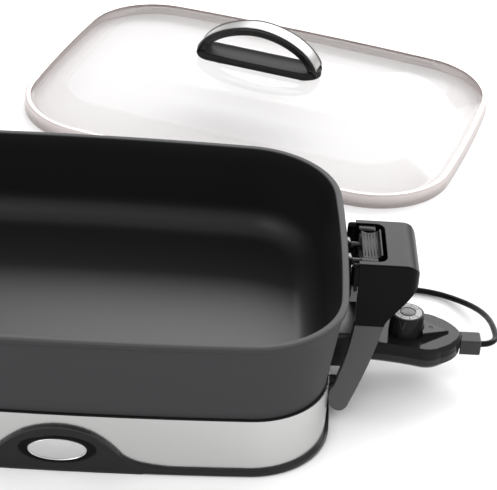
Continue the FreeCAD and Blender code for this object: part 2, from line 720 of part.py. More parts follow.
def make_handle_screws():
    """Screws that fasten the grip's cheeks to the frame's posts, from inside."""
    y = GRIP_HALF_WIDTH - GRIP_WALL - 0.2 - 4.0
    return both_sides(rod(Vector(226.0, y, 84.0), -ALONG_Y, 1.4, 5.0))


def make_button():
    """The latch button: a dished plate with a raised outer lip, a stem, and a toe under the pan's loop."""
    outer = RECESS_OUTER - BUTTON_TRAVEL - 0.8
    inner = outer - BUTTON_LENGTH
    low = BUTTON_TOP - BUTTON_THICKNESS
    section = side_face([
        (inner, low),
        (inner, BUTTON_TOP - 0.3),
        ((inner, BUTTON_TOP - 0.3), (inner + 6.5, BUTTON_TOP - 1.5), (outer - 2.2, BUTTON_TOP)),
        (outer - 1.2, BUTTON_TOP + BUTTON_LIP),
        (outer, BUTTON_TOP + BUTTON_LIP),
        (outer, low),
    ], -BUTTON_HALF_WIDTH)
    body = section.extrude(Vector(0, 2 * BUTTON_HALF_WIDTH, 0))
    bar_outer = LOOP_REACH + LOOP_WIRE / 2
    toe_top = LOOP_Z - LOOP_WIRE / 2 - TOE_GAP
    stem_y = BUTTON_HALF_WIDTH - 6.0
    stem_x = bar_outer + 0.6
    stem = block(stem_x, stem_x + BUTTON_STEM, -stem_y, stem_y, toe_top - TOE_THICKNESS, low + 0.5)
    toe = block(stem_x - TOE_LENGTH, stem_x + BUTTON_STEM, -6.0, 6.0, toe_top - TOE_THICKNESS, toe_top)
    return body.fuse(stem).fuse(toe).removeSplitter()


def probe_plan(inset=0.0):
    """The heat control's outline from above, as edges at z 0: a shield with a round nose."""
    neck = PROBE_NECK_HALF - inset
    half = PROBE_HALF - inset
    nose = PROBE_NOSE - inset
    front = PROBE_FRONT + inset
    top = [
        (Vector(front, neck, 0), Vector(PROBE_NECK_END, neck, 0)),
        (
            Vector(PROBE_NECK_END, neck, 0),
            Vector((PROBE_NECK_END + PROBE_WIDEST) / 2, (neck + half) / 2 - 0.8, 0),
            Vector(PROBE_WIDEST - 7, half - 0.6, 0),
        ),
        (
            Vector(PROBE_WIDEST - 7, half - 0.6, 0),
            Vector(PROBE_WIDEST + 1, half - 0.9, 0),
            Vector(PROBE_WIDEST + 8, half - 4.6, 0),
        ),
        (
            Vector(PROBE_WIDEST + 8, half - 4.6, 0),
            Vector(nose - 5.6, half - 13.5, 0),
            Vector(nose, 0, 0),
        ),
    ]
    lower = [tuple(Vector(p.x, -p.y, 0) for p in reversed(item)) for item in reversed(top)]
    edges = [Part.Arc(*item).toShape() if len(item) == 3 else Part.makeLine(*item) for item in top + lower]
    edges.append(Part.makeLine(Vector(front, -neck, 0), Vector(front, neck, 0)))
    return Part.Wire(edges)


def probe_slice(inset0, z0, inset1, z1):
    """A slice of the heat control between two heights."""
    low = probe_plan(inset0)
    low.translate(Vector(0, 0, z0))
    high = probe_plan(inset1)
    high.translate(Vector(0, 0, z1))
    return Part.makeLoft([low, high], True, True)


def socket_room():
    """The hole in the heat control's front wall for the sensor, and the two for the pins."""
    depth = PROBE_WALL + 2
    room = rod(Vector(PROBE_FRONT - 1, 0, TERMINAL_Z), ALONG_X, depth, SENSOR_DIAMETER + 0.1)
    pin_hole = rod(Vector(PROBE_FRONT - 1, PIN_SPACING / 2, TERMINAL_Z), ALONG_X, depth, PIN_DIAMETER + 0.7)
    for hole in both_sides(pin_hole):
        room = room.fuse(hole)
    return room


def make_probe_lower():
    """The lower half of the heat control's case."""
    body = probe_slice(3.0, PROBE_BOTTOM, 0.6, PROBE_BOTTOM + 3).fuse(
        probe_slice(0.6, PROBE_BOTTOM + 3, 0.6, PROBE_PARTING - 0.15))
    hollow = probe_slice(PROBE_WALL, PROBE_BOTTOM + 2.2, PROBE_WALL, PROBE_PARTING)
    return body.cut(hollow).cut(socket_room()).removeSplitter()


def make_probe_upper():
    """The upper half: bevelled edge, a round seat for the dial and the raised pod behind it."""
    body = probe_slice(0.0, PROBE_PARTING, 0.0, PROBE_TOP - 2.5).fuse(
        probe_slice(0.0, PROBE_TOP - 2.5, 2.0, PROBE_TOP))
    hollow = probe_slice(PROBE_WALL, PROBE_PARTING - 1, PROBE_WALL, PROBE_TOP - 3)
    body = body.cut(hollow).cut(socket_room())
    pod_low = [Vector(DIAL_X + 12, -11.5, PROBE_TOP - 0.5), Vector(DIAL_X + 34, 0, PROBE_TOP - 0.5)]
    pod_low.append(Vector(DIAL_X + 12, 11.5, PROBE_TOP - 0.5))
    pod = plate(pod_low, Vector(0, 0, 12.0))
    slope = plate([
        Vector(DIAL_X, -20, PROBE_TOP + 7.5),
        Vector(DIAL_X + 40, -20, PROBE_TOP + 0.6),
        Vector(DIAL_X + 40, -20, PROBE_TOP + 20),
        Vector(DIAL_X, -20, PROBE_TOP + 20),
    ], Vector(0, 40, 0))
    pod = pod.cut(slope).cut(rod(Vector(DIAL_X, 0, PROBE_TOP - 1), UP, 20.0, DIAL_DIAMETER + 2 * DIAL_GAP))
    body = body.fuse(pod)
    bore = DIAL_SHAFT_DIAMETER + 0.1
    body = body.cut(rod(Vector(DIAL_X, 0, PROBE_TOP - 5), UP, 8.0, bore))
    lens = rod(Vector(DIAL_X + 19.5, 0, PROBE_TOP - 5), UP, 12.0, 2.6)
    return body.cut(lens).removeSplitter()


def make_pilot_lens():
    """The pilot light's small lens in the pod."""
    return rod(Vector(DIAL_X + 19.5, 0, PROBE_TOP - 4), UP, 8.0, 2.6)


def make_sensor_rod():
    """The temperature sensor, which reaches into the sleeve under the pan."""
    start = SENSOR_TIP + 2.0
    return rod(Vector(start, 0, TERMINAL_Z), ALONG_X, PROBE_FRONT + 8 - start, SENSOR_DIAMETER)


def make_contacts():
    """Two split spring sockets behind the front wall, in line with the pins."""
    x0 = PROBE_FRONT + PROBE_WALL + FIT_GAP
    tube = rod(Vector(x0, PIN_SPACING / 2, TERMINAL_Z), ALONG_X, 16.0, PIN_DIAMETER + 1.0)
    tube = tube.cut(rod(Vector(x0 - 1, PIN_SPACING / 2, TERMINAL_Z), ALONG_X, 15.0, PIN_DIAMETER + 0.4))
    return both_sides(tube)


def make_thermostat():
    """The switch block inside the case, under the dial's shaft."""
    return block(DIAL_X - 8, DIAL_X + 8, -7.0, 7.0, PROBE_BOTTOM + 2.3, PROBE_PARTING - 3.5)


def make_relief():
    """The cord's strain relief: a round-edged block on the control's nose."""
    low = PROBE_PARTING - RELIEF_HEIGHT / 2
    side = RELIEF_WIDTH / 2
    x0 = PROBE_NOSE - RELIEF_SINK
    body = block(x0, x0 + RELIEF_LENGTH, -side, side, low, low + RELIEF_HEIGHT)
    body = rounded(body, RELIEF_ROUND, lambda p: p.x > x0 + 4)
    return body.cut(probe_slice(-0.1, PROBE_BOTTOM - 1, -0.1, PROBE_TOP + 1))


def make_dial():
    """The dial: a fluted drum with a shaft that turns in the case."""
    z0 = PROBE_TOP + DIAL_GAP
    drum = Part.makeCone(DIAL_DIAMETER / 2 + 0.3, DIAL_DIAMETER / 2 - 0.5, DIAL_HEIGHT, Vector(DIAL_X, 0, z0))
    crown = drum.Edges
    drum = drum.makeFillet(0.8, [edge for edge in crown if edge.CenterOfMass.z > z0 + DIAL_HEIGHT - 0.1])
    for index in range(4):
        angle = math.radians(45 + 90 * index)
        place = Vector(DIAL_X + 17.6 * math.cos(angle), 17.6 * math.sin(angle), z0 - 1)
        drum = drum.cut(rod(place, UP, DIAL_HEIGHT - 3, 9.0))
    seat = rod(Vector(DIAL_X, 0, z0 + DIAL_HEIGHT - 0.6), UP, 2.0, DIAL_DIAMETER - 4)
    return drum.cut(seat)


def make_dial_cap():
    """The silver disc on the dial's top."""
    z0 = PROBE_TOP + DIAL_GAP + DIAL_HEIGHT - 0.6
    disc = rod(Vector(DIAL_X, 0, z0), UP, CAP_THICKNESS, DIAL_DIAMETER - 4.1)
    grip = block(DIAL_X - 10.0, DIAL_X + 10.0, -1.6, 1.6, z0 + CAP_THICKNESS - 0.2, z0 + CAP_THICKNESS + 1.2)
    return disc.fuse(grip)


def make_dial_shaft():
    """The dial's shaft, which ends above the switch block."""
    low = PROBE_PARTING - 3.0
    return rod(Vector(DIAL_X, 0, low), UP, PROBE_TOP + DIAL_GAP - low, DIAL_SHAFT_DIAMETER)


def cord_route():
    """The cord's points from the strain relief to the coil, by hand. It lies on the table past the first bend."""
    z = CORD_DIAMETER / 2 + CORD_FLOOR_GAP
    points = [(PROBE_NOSE - RELIEF_SINK + RELIEF_LENGTH, 0.0, PROBE_PARTING)]
    points += [(325.1, 0.15, 29.0), (328.9, 1.3, 28.9), (332.3, 3.8, 28.7), (334.7, 7.2, 28.3), (336.1, 11.6, 27.7)]
    points += [(336.8, 18.6, 26.5), (336.8, 30.6, 24.1), (336.4, 45.0, 20.3), (334.4, 61.0, 15.6), (330.0, 77.0, 10.6)]
    points += [(322.5, 91.5, 6.3), (312.0, 102.5, 3.6), (299.0, 110.0, z), (283.0, 113.5, z), (266.0, 114.0, z)]
    points += [(249.0, 112.5, z), (232.0, 112.0, z), (216.5, 118.5, z), (204.0, 131.0, z), (193.0, 147.0, z)]
    points += [(178.0, 161.0, z), (159.0, 170.4, z), (138.0, 175.8, z), (117.0, 177.8, z), (96.0, 178.0, z)]
    points.append((COIL_CENTRE[0] + CORD_DIAMETER, COIL_CENTRE[1] - COIL_RADIUS, z))
    return [Vector(*point) for point in points]


def tube_on(points, diameter):
    """A tube along straight runs joined by tangent arcs, each as large as its two runs allow."""
    edges = []
    radii = []
    last = points[0]
    for before, corner, after in zip(points, points[1:], points[2:]):
        to_before = before - corner
        to_after = after - corner
        turn = math.pi - to_before.getAngle(to_after)
        setback = 0.45 * min(to_before.Length, to_after.Length)
        radii.append(setback / math.tan(turn / 2))
        one = to_before.normalize()
        two = to_after.normalize()
        start = corner + one * setback
        end = corner + two * setback
        bisector = (one + two).normalize()
        middle = corner + bisector * (radii[-1] / math.cos(turn / 2) - radii[-1])
        edges.append(Part.LineSegment(last, start).toShape())
        edges.append(Part.Arc(start, middle, end).toShape())
        last = end
    edges.append(Part.LineSegment(last, points[-1]).toShape())
    path = Part.Wire(edges)
    profile = Part.Wire([Part.makeCircle(diameter / 2, points[0], points[1] - points[0])])
    tube = path.makePipeShell([profile], True, False)
    section = math.pi * diameter ** 2 / 4
    print("cord radii", [round(radius, 1) for radius in radii])
    print("cord length", round(path.Length, 1), "volume ratio", round(tube.Volume / (section * path.Length), 4))
    return tube


def coil_point(turns):
    """A point of the coil's centre line after a number of turns: in on one layer, up, and out on the next."""
    climb_start = COIL_IN_TURNS
    reverse = climb_start + COIL_CLIMB_TURNS / 2
    angle = math.radians(-90.0) - 2 * math.pi * turns
    radius = COIL_RADIUS - COIL_PITCH * (reverse - abs(turns - reverse))
    share = min(1.0, max(0.0, (turns - climb_start) / COIL_CLIMB_TURNS))
    lift = COIL_PITCH * (1 - math.cos(math.pi * share)) / 2
    z = CORD_DIAMETER / 2 + CORD_FLOOR_GAP + lift
    return Vector(COIL_CENTRE[0] + radius * math.cos(angle), COIL_CENTRE[1] + radius * math.sin(angle), z)


def arc_from(start, tangent, end):
    """The arc that leaves a point along a tangent and ends at another point."""
    chord = end - start
    unit = Vector(chord).normalize()
    cosine = max(-1.0, min(1.0, tangent.dot(unit)))
    half_angle = math.acos(cosine) / 2
    side = (tangent - unit * cosine)
    if side.Length < 1e-9:
        return Part.LineSegment(start, end).toShape()
    middle = (start + end) * 0.5 + side.normalize() * (chord.Length / 2 * math.tan(half_angle))
    return Part.Arc(start, middle, end).toShape()


def biarc(start, start_tangent, end, end_tangent):
    """Two tangent arcs between two points with given directions."""
    span = end - start
    total = start_tangent + end_tangent
    bend = 2 * (1 - start_tangent.dot(end_tangent))
    reach = (-span.dot(total) + math.sqrt(span.dot(total) ** 2 + bend * span.dot(span))) / bend
    joint = (start + end + (start_tangent - end_tangent) * reach) * 0.5
    joint_tangent = (end - end_tangent * reach - start - start_tangent * reach).normalize()
    return [arc_from(start, start_tangent, joint), arc_from(joint, joint_tangent, end)]


def coil_ends():
    """The coil's first and last points with their directions."""
    turns = COIL_IN_TURNS + COIL_CLIMB_TURNS + COIL_OUT_TURNS
    first = coil_point(0.0)
    last = coil_point(turns)
    return first, Vector(-1, 0, 0), last, Vector(1, 0, 0)


def make_coil():
    """The put-away length: one tube that winds in, climbs and winds out, on arcs of a quarter turn."""
    turns = COIL_IN_TURNS + COIL_CLIMB_TURNS + COIL_OUT_TURNS
    count = int(round(turns * 4))
    first, first_tangent, last, last_tangent = coil_ends()
    places = [coil_point(turns * index / count) for index in range(count + 1)]
    small = 1e-3
    tangents = [first_tangent]
    for index in range(1, count):
        at = turns * index / count
        tangents.append((coil_point(at + small) - coil_point(at - small)).normalize())
    tangents.append(last_tangent)
    lead_in = first - first_tangent * CORD_DIAMETER
    edges = [Part.LineSegment(lead_in, first).toShape()]
    for index in range(count):
        edges += biarc(places[index], tangents[index], places[index + 1], tangents[index + 1])
    edges.append(Part.LineSegment(last, last + last_tangent * PLUG_LEAD).toShape())
    path = Part.Wire(edges)
    profile = Part.Wire([Part.makeCircle(CORD_DIAMETER / 2, lead_in, first_tangent)])
    print("coil length", round(path.Length, 1), "least gap", round(least_gap(turns), 2))
    return path.makePipeShell([profile], True, False)


def least_gap(turns):
    """The least clear distance between different turns of the coil, on points."""
    steps = 240
    points = [coil_point(turns * index / steps) for index in range(steps + 1)]
    apart = int(0.6 * steps / turns)
    gap = min((points[i] - points[j]).Length for i in range(steps + 1) for j in range(i + apart, steps + 1))
    return gap - CORD_DIAMETER


def make_tie():
    """A strap round the coil's turns, opposite the plug."""
    outer_r = COIL_RADIUS - COIL_PITCH * 0.25
    inner_r = COIL_RADIUS - COIL_PITCH * (COIL_IN_TURNS + COIL_CLIMB_TURNS)
    gap = FIT_GAP
    x1 = COIL_CENTRE[0] - inner_r + CORD_DIAMETER / 2 + gap + 1.2
    x0 = COIL_CENTRE[0] - outer_r - CORD_DIAMETER / 2 - gap
    y0 = COIL_CENTRE[1] - TIE_WIDTH / 2
    z1 = CORD_FLOOR_GAP + CORD_DIAMETER + COIL_PITCH + gap
    inner = block(x0, x1, y0 - 1, y0 + TIE_WIDTH + 1, TIE_UNDER, z1)
    outer = block(x0 - TIE_WALL, x1 + TIE_WALL, y0, y0 + TIE_WIDTH, 0, z1 + TIE_WALL)
    return outer.cut(inner)


def make_plug():
    """The moulded plug: a tapered neck and a body with waisted sides, beside the coil."""
    _, _, last, tangent = coil_ends()
    start = last + tangent * PLUG_LEAD
    neck = Part.makeCone(CORD_DIAMETER / 2 + 1.0, CORD_DIAMETER / 2 + 3.0, PLUG_NECK, start, ALONG_X)
    x0 = start.x + PLUG_NECK - 0.5
    z0 = start.z - PLUG_HEIGHT / 2
    body = block(x0, x0 + PLUG_BODY, start.y - PLUG_WIDTH / 2, start.y + PLUG_WIDTH / 2, z0, z0 + PLUG_HEIGHT)
    body = body.makeFillet(3.0, [edge for edge in body.Edges if edge.BoundBox.XLength > 1])
    for side in (1, -1):
        centre = Vector(x0 + PLUG_BODY / 2, start.y + side * (PLUG_WIDTH / 2 + 27.0), z0 - 1)
        body = body.cut(rod(centre, UP, PLUG_HEIGHT + 2, 2 * 29.5))
    return neck.fuse(body).removeSplitter()


def make_blades():
    """The plug's two flat blades."""
    _, _, last, tangent = coil_ends()
    x0 = last.x + PLUG_LEAD + PLUG_NECK - 0.5 + PLUG_BODY
    blades = []
    for side in (1, -1):
        y = last.y + side * BLADE_SPACING / 2
        blades.append(block(x0, x0 + BLADE_LENGTH, y - 0.75, y + 0.75, last.z - 3.15, last.z + 3.15))
    return blades


def place_lid(shape):
    """Moves a piece from the lid's own frame to where the lid lies."""
    placed = shape.copy()
    placed.rotate(Vector(0, 0, 0), UP, LID_TURN)
    placed.translate(Vector(LID_PLACE[0], LID_PLACE[1], 0))
    return placed


LID_EDGE = RIM.inset(-LID_OVERHANG)


def make_lid_rim():
    """The steel rim: an upright skirt folded in over the edge of the glass."""
    skirt = ring(LID_EDGE, LID_EDGE.inset(LID_SKIRT_WALL), 0, LID_SKIRT)
    fold_z = LID_SKIRT - LID_SKIRT_WALL
    fold = ring(LID_EDGE, LID_EDGE.inset(LID_FOLD), fold_z, LID_SKIRT)
    return skirt.fuse(fold).removeSplitter()


def glass_sections(shrink, drop):
    """Sections of the glass from its edge to its crown: a quarter-wave dome with a flat middle."""
    edge = LID_EDGE.inset(LID_SKIRT_WALL + FIT_GAP + shrink)
    base_z = LID_SKIRT - LID_SKIRT_WALL - FIT_GAP - GLASS_THICKNESS
    sections = [(edge, base_z - drop), (edge, base_z + GLASS_THICKNESS - drop)]
    top = base_z + GLASS_THICKNESS - drop
    reach = edge.half_y - HANDLE_BASE_SIZE[1]
    steps = 5
    for step in range(1, steps + 1):
        share = step / steps
        inset = 7.0 + (reach - 7.0) * share
        rise = GLASS_RISE * math.sin(math.pi / 2 * share)
        corner = max(edge.corner - 0.75 * inset, HANDLE_BASE_SIZE[1] / 2)
        outline = Outline(edge.half_x - inset, edge.half_y - inset, corner)
        sections.append((outline, top + rise))
    return sections


def make_glass():
    """The tempered glass: a rim flange and a low dome of even thickness."""
    outer = glass_sections(0.0, 0.0)
    dome = loft(outer[:2]).fuse(Part.makeLoft([glass_flange_wire(outer)] + [o.wire(z) for o, z in outer[2:]], True, True))
    inner = [(o.inset(0.5), z - GLASS_THICKNESS) for o, z in outer]
    room = Part.makeLoft([glass_flange_wire(inner, 9.0)] + [o.wire(z) for o, z in inner[2:]], True, True)
    return dome.cut(room).removeSplitter()


def glass_flange_wire(sections, inset=5.0):
    """The wire on the flange's top from which the dome starts."""
    outline, z = sections[1]
    return outline.inset(inset).wire(z)


def crown_height():
    """The height of the glass's flat middle."""
    return LID_SKIRT - LID_SKIRT_WALL - FIT_GAP + GLASS_RISE


def make_lid_handle_base():
    """The handle's black foot plate: a long oval whose top is dished under the arch."""
    z0 = crown_height() + FIT_GAP
    length, width = HANDLE_BASE_SIZE
    low = stadium(length, width, z0)
    high = stadium(length - 4, width - 4, z0 + HANDLE_BASE_HEIGHT)
    body = Part.makeLoft([low, high], True, True)
    radius = 150.0
    dish = rod(Vector(0, -width, z0 + 3.0 + radius), ALONG_Y, 2 * width, 2 * radius)
    return body.cut(dish)


def arch_strip(outset, thickness, width):
    """A curved bar in the form of the lid's arch."""
    z0 = crown_height() + FIT_GAP + HANDLE_BASE_HEIGHT - 1.0
    half = ARCH_SPAN / 2
    rise = ARCH_RISE - HANDLE_BASE_HEIGHT + 1.0
    middle_r = (half ** 2 + rise ** 2) / (2 * rise)
    outer_r = middle_r + outset
    centre_z = z0 + rise - middle_r
    outer = rod(Vector(0, -width / 2, centre_z), ALONG_Y, width, 2 * outer_r)
    inner = rod(Vector(0, -width, centre_z), ALONG_Y, 2 * width, 2 * (outer_r - thickness))
    above = block(-half - 5, half + 5, -width, width, z0, z0 + 2 * rise)
    return outer.cut(inner).common(above)


def make_lid_arch():
    """The black arch of the lid's handle, which stands on the foot plate."""
    return arch_strip(0.0, ARCH_THICKNESS, ARCH_WIDTH).cut(make_lid_handle_base())


def make_lid_trim():
    """The brushed steel strip along the arch's outer side."""
    return arch_strip(TRIM_THICKNESS + 0.05, TRIM_THICKNESS, TRIM_WIDTH).cut(make_lid_handle_base())


def make_lid_screws():
    """Two screws up through the glass into the handle, each with a washer inside the lid."""
    z = crown_height() - GLASS_THICKNESS
    screws = []
    for side in (1, -1):
        x = side * LID_SCREW_SPACING / 2
        screws.append(rod(Vector(x, 0, z - 3.4), UP, 2.4, 8.0))
    return screws


def make_lid_washers():
    """Two soft washers under the screws' heads."""
    z = crown_height() - GLASS_THICKNESS
    return [rod(Vector(side * LID_SCREW_SPACING / 2, 0, z - 1.0), UP, 0.9, 13.0) for side in (1, -1)]


def collect():
    """Every node's shape by name."""
    nodes = {
        "pan_shell": make_pan_shell(),
        "heating_element": make_element(),
        "terminal_pins": make_terminals(),
        "sensor_sleeve": make_sleeve(),
        "socket_guard": make_guard(),
        "guard_screws": make_guard_screws(),
        "base_skirt": make_skirt(),
        "steel_band": make_band(),
        "badge_bezel": make_bezel(),
        "badge_plate": make_badge(),
        "heat_shield": make_shield(),
        "rubber_feet": make_feet(),
        "base_screws": make_base_screws(),
        "hinge_pins": make_hinge_pins(),
        "probe_lower_case": make_probe_lower(),
        "probe_upper_case": make_probe_upper(),
        "pilot_lens": make_pilot_lens(),
        "sensor_rod": make_sensor_rod(),
        "probe_contacts": make_contacts(),
        "thermostat_block": make_thermostat(),
        "strain_relief": make_relief(),
        "dial_knob": make_dial(),
        "dial_cap": make_dial_cap(),
        "dial_shaft": make_dial_shaft(),
        "power_cord": tube_on(cord_route(), CORD_DIAMETER),
        "cord_coil": make_coil(),
        "cord_tie": make_tie(),
        "plug_body": make_plug(),
        "plug_blades": make_blades(),
    }
    handle = {
        "frame": make_handle_frame(),
        "grip": make_grip(),
        "screws": make_handle_screws(),
    }
    for name, shape in handle.items():
        nodes["handle_right_" + name] = shape
        flipped = [flip_x(item) for item in shape] if isinstance(shape, list) else flip_x(shape)
        nodes["handle_left_" + name] = flipped
    for name, shape in (("latch_button_", make_button()), ("pan_loop_", make_loop())):
        nodes[name + "right"] = shape
        nodes[name + "left"] = flip_x(shape)
    lid = {
        "lid_rim": make_lid_rim(),
        "lid_glass": make_glass(),
        "lid_handle_base": make_lid_handle_base(),
        "lid_handle_arch": make_lid_arch(),
        "lid_handle_trim": make_lid_trim(),
        "lid_screws": make_lid_screws(),
        "lid_washers": make_lid_washers(),
    }
    for name, shape in lid.items():
        nodes[name] = [place_lid(item) for item in shape] if isinstance(shape, list) else place_lid(shape)
    return nodes


def main():
    """Writes one file per node."""
    os.makedirs("parts", exist_ok=True)
    for name, shape in collect().items():
        pieces = shape if isinstance(shape, list) else shape.Solids
        whole = pieces[0] if len(pieces) == 1 else Part.makeCompound(pieces)
        print(name, len(pieces), "solids", round(whole.Volume / 1000, 2), "cm3", whole.isValid())
        whole.exportStep(os.path.join("parts", name + ".step"))


main()
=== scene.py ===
import math

import bmesh
import bpy
from mathutils import Matrix, Vector


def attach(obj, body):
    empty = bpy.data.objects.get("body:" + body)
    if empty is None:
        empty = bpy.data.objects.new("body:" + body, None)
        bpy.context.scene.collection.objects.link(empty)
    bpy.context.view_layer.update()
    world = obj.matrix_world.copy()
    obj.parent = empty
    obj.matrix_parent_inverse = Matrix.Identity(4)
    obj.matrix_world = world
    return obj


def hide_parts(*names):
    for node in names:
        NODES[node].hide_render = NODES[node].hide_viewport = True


# Looks of an electric skillet: lipped cast pan, steel-banded base, two latch handles, heat control with a
# cord, and a glass lid. Lengths in the helpers are millimetres and become metres when a mesh is built.

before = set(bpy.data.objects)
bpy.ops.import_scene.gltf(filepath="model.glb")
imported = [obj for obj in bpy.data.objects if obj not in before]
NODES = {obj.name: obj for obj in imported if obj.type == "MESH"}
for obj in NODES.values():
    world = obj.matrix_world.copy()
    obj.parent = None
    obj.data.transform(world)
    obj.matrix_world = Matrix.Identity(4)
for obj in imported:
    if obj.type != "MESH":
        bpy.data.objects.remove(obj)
MM = 0.001
SIDES = ((1, "right"), (-1, "left"))
ENDS = ((1, "back"), (-1, "front"))

# Sizes that repeat the solid model
LONG_RADIUS = 2640.0
SHORT_RADIUS = 1430.0
# Rectangles with bowed sides: half length, half depth and corner radius
RIM = (210.0, 150.5, 76.0)
WAIST = (198.5, 146.0, 59.5)
BASE = (201.0, 148.5, 62.0)
BADGE_Z = 20.0
# The bell-shaped front's top line: distance from the middle, height and slope
ARCH_LINE = ((0.0, 39.8, 0.0), (14.0, 38.2, -0.23), (27.0, 32.8, -0.62), (39.0, 23.4, -0.95),
             (49.0, 14.0, -0.78), (57.0, 9.6, -0.40), (64.0, 7.6, -0.22), (73.0, 6.1, -0.13),
             (84.0, 5.1, -0.02))
RIM_TOP = 115.0
RIM_LIP = 1.6
PAN_SEAT = 48.9
PAN_WALL = 4.0
FLOOR_TOP = 40.0
FLOOR_UNDER = 35.5
KNEE_RADIUS = 24.0
TUB_LEDGE = 5.5
LOOP_Z = 108.2
LID_PLACE = (149.2, 435.0)
LID_TURN = -18.6
LID_EDGE = (211.0, 151.5, 77.0)
LID_SKIRT = 13.5
GLASS_EDGE = tuple(value - 1.1 for value in LID_EDGE)
GLASS_TOP = LID_SKIRT - 1.1
CROWN_Z = 43.4
GLASS = 4.0
LID_HANDLE_SHIFT = -3.0
HANDLE_GAP = 0.3
HANDLE_HALF = 62.5
HANDLE_WIDTH = 16.5
HANDLE_RISE = 41.0
HANDLE_TOE = 1.5
DIAL = (262.2, 0.0)
DIAL_TOP = 55.6


# Materials

BASE_IOR = 1.5
BEVEL_SAMPLES = 6
NOISE_DETAIL = 4.0
STREAK_STRETCH = (0.02, 0.02, 1.0)


def surface(name, color, rough, metal=0.0, grain=None, streaks=None, edge=0.5, alpha=1.0, level=0.5):
    """A procedural material: a flat colour, with fine relief and soft edges in its normal.

    grain (even) and streaks (drawn out sideways) give a noise's scale, its strength and its depth.
    edge is the radius of the soft edges, or 0 for none.
    """
    material = bpy.data.materials.new(name)
    material.use_nodes = True
    tree = material.node_tree
    shader = tree.nodes["Principled BSDF"]
    shader.inputs["Base Color"].default_value = (*color, 1.0)
    shader.inputs["Roughness"].default_value = rough
    shader.inputs["Metallic"].default_value = metal
    shader.inputs["IOR"].default_value = BASE_IOR
    shader.inputs["Alpha"].default_value = alpha
    shader.inputs["Specular IOR Level"].default_value = level
    normal = None
    if edge:
        bevel = tree.nodes.new("ShaderNodeBevel")
        bevel.samples = BEVEL_SAMPLES
        bevel.inputs["Radius"].default_value = edge * MM
        normal = bevel.outputs["Normal"]
    relief = grain or streaks
    if relief:
        scale, strength, depth = relief
        coords = tree.nodes.new("ShaderNodeTexCoord")
        stretch = tree.nodes.new("ShaderNodeMapping")
        stretch.inputs["Scale"].default_value = (1.0, 1.0, 1.0) if grain else STREAK_STRETCH
        noise = tree.nodes.new("ShaderNodeTexNoise")
        noise.inputs["Scale"].default_value = scale
        noise.inputs["Detail"].default_value = NOISE_DETAIL
        tree.links.new(coords.outputs["Object"], stretch.inputs["Vector"])
        tree.links.new(stretch.outputs["Vector"], noise.inputs["Vector"])
        bump = tree.nodes.new("ShaderNodeBump")
        bump.inputs["Strength"].default_value = strength
        bump.inputs["Distance"].default_value = depth * MM
        tree.links.new(noise.outputs["Fac"], bump.inputs["Height"])
        if normal:
            tree.links.new(normal, bump.inputs["Normal"])
        normal = bump.outputs["Normal"]
    if normal:
        tree.links.new(normal, shader.inputs["Normal"])
    return material


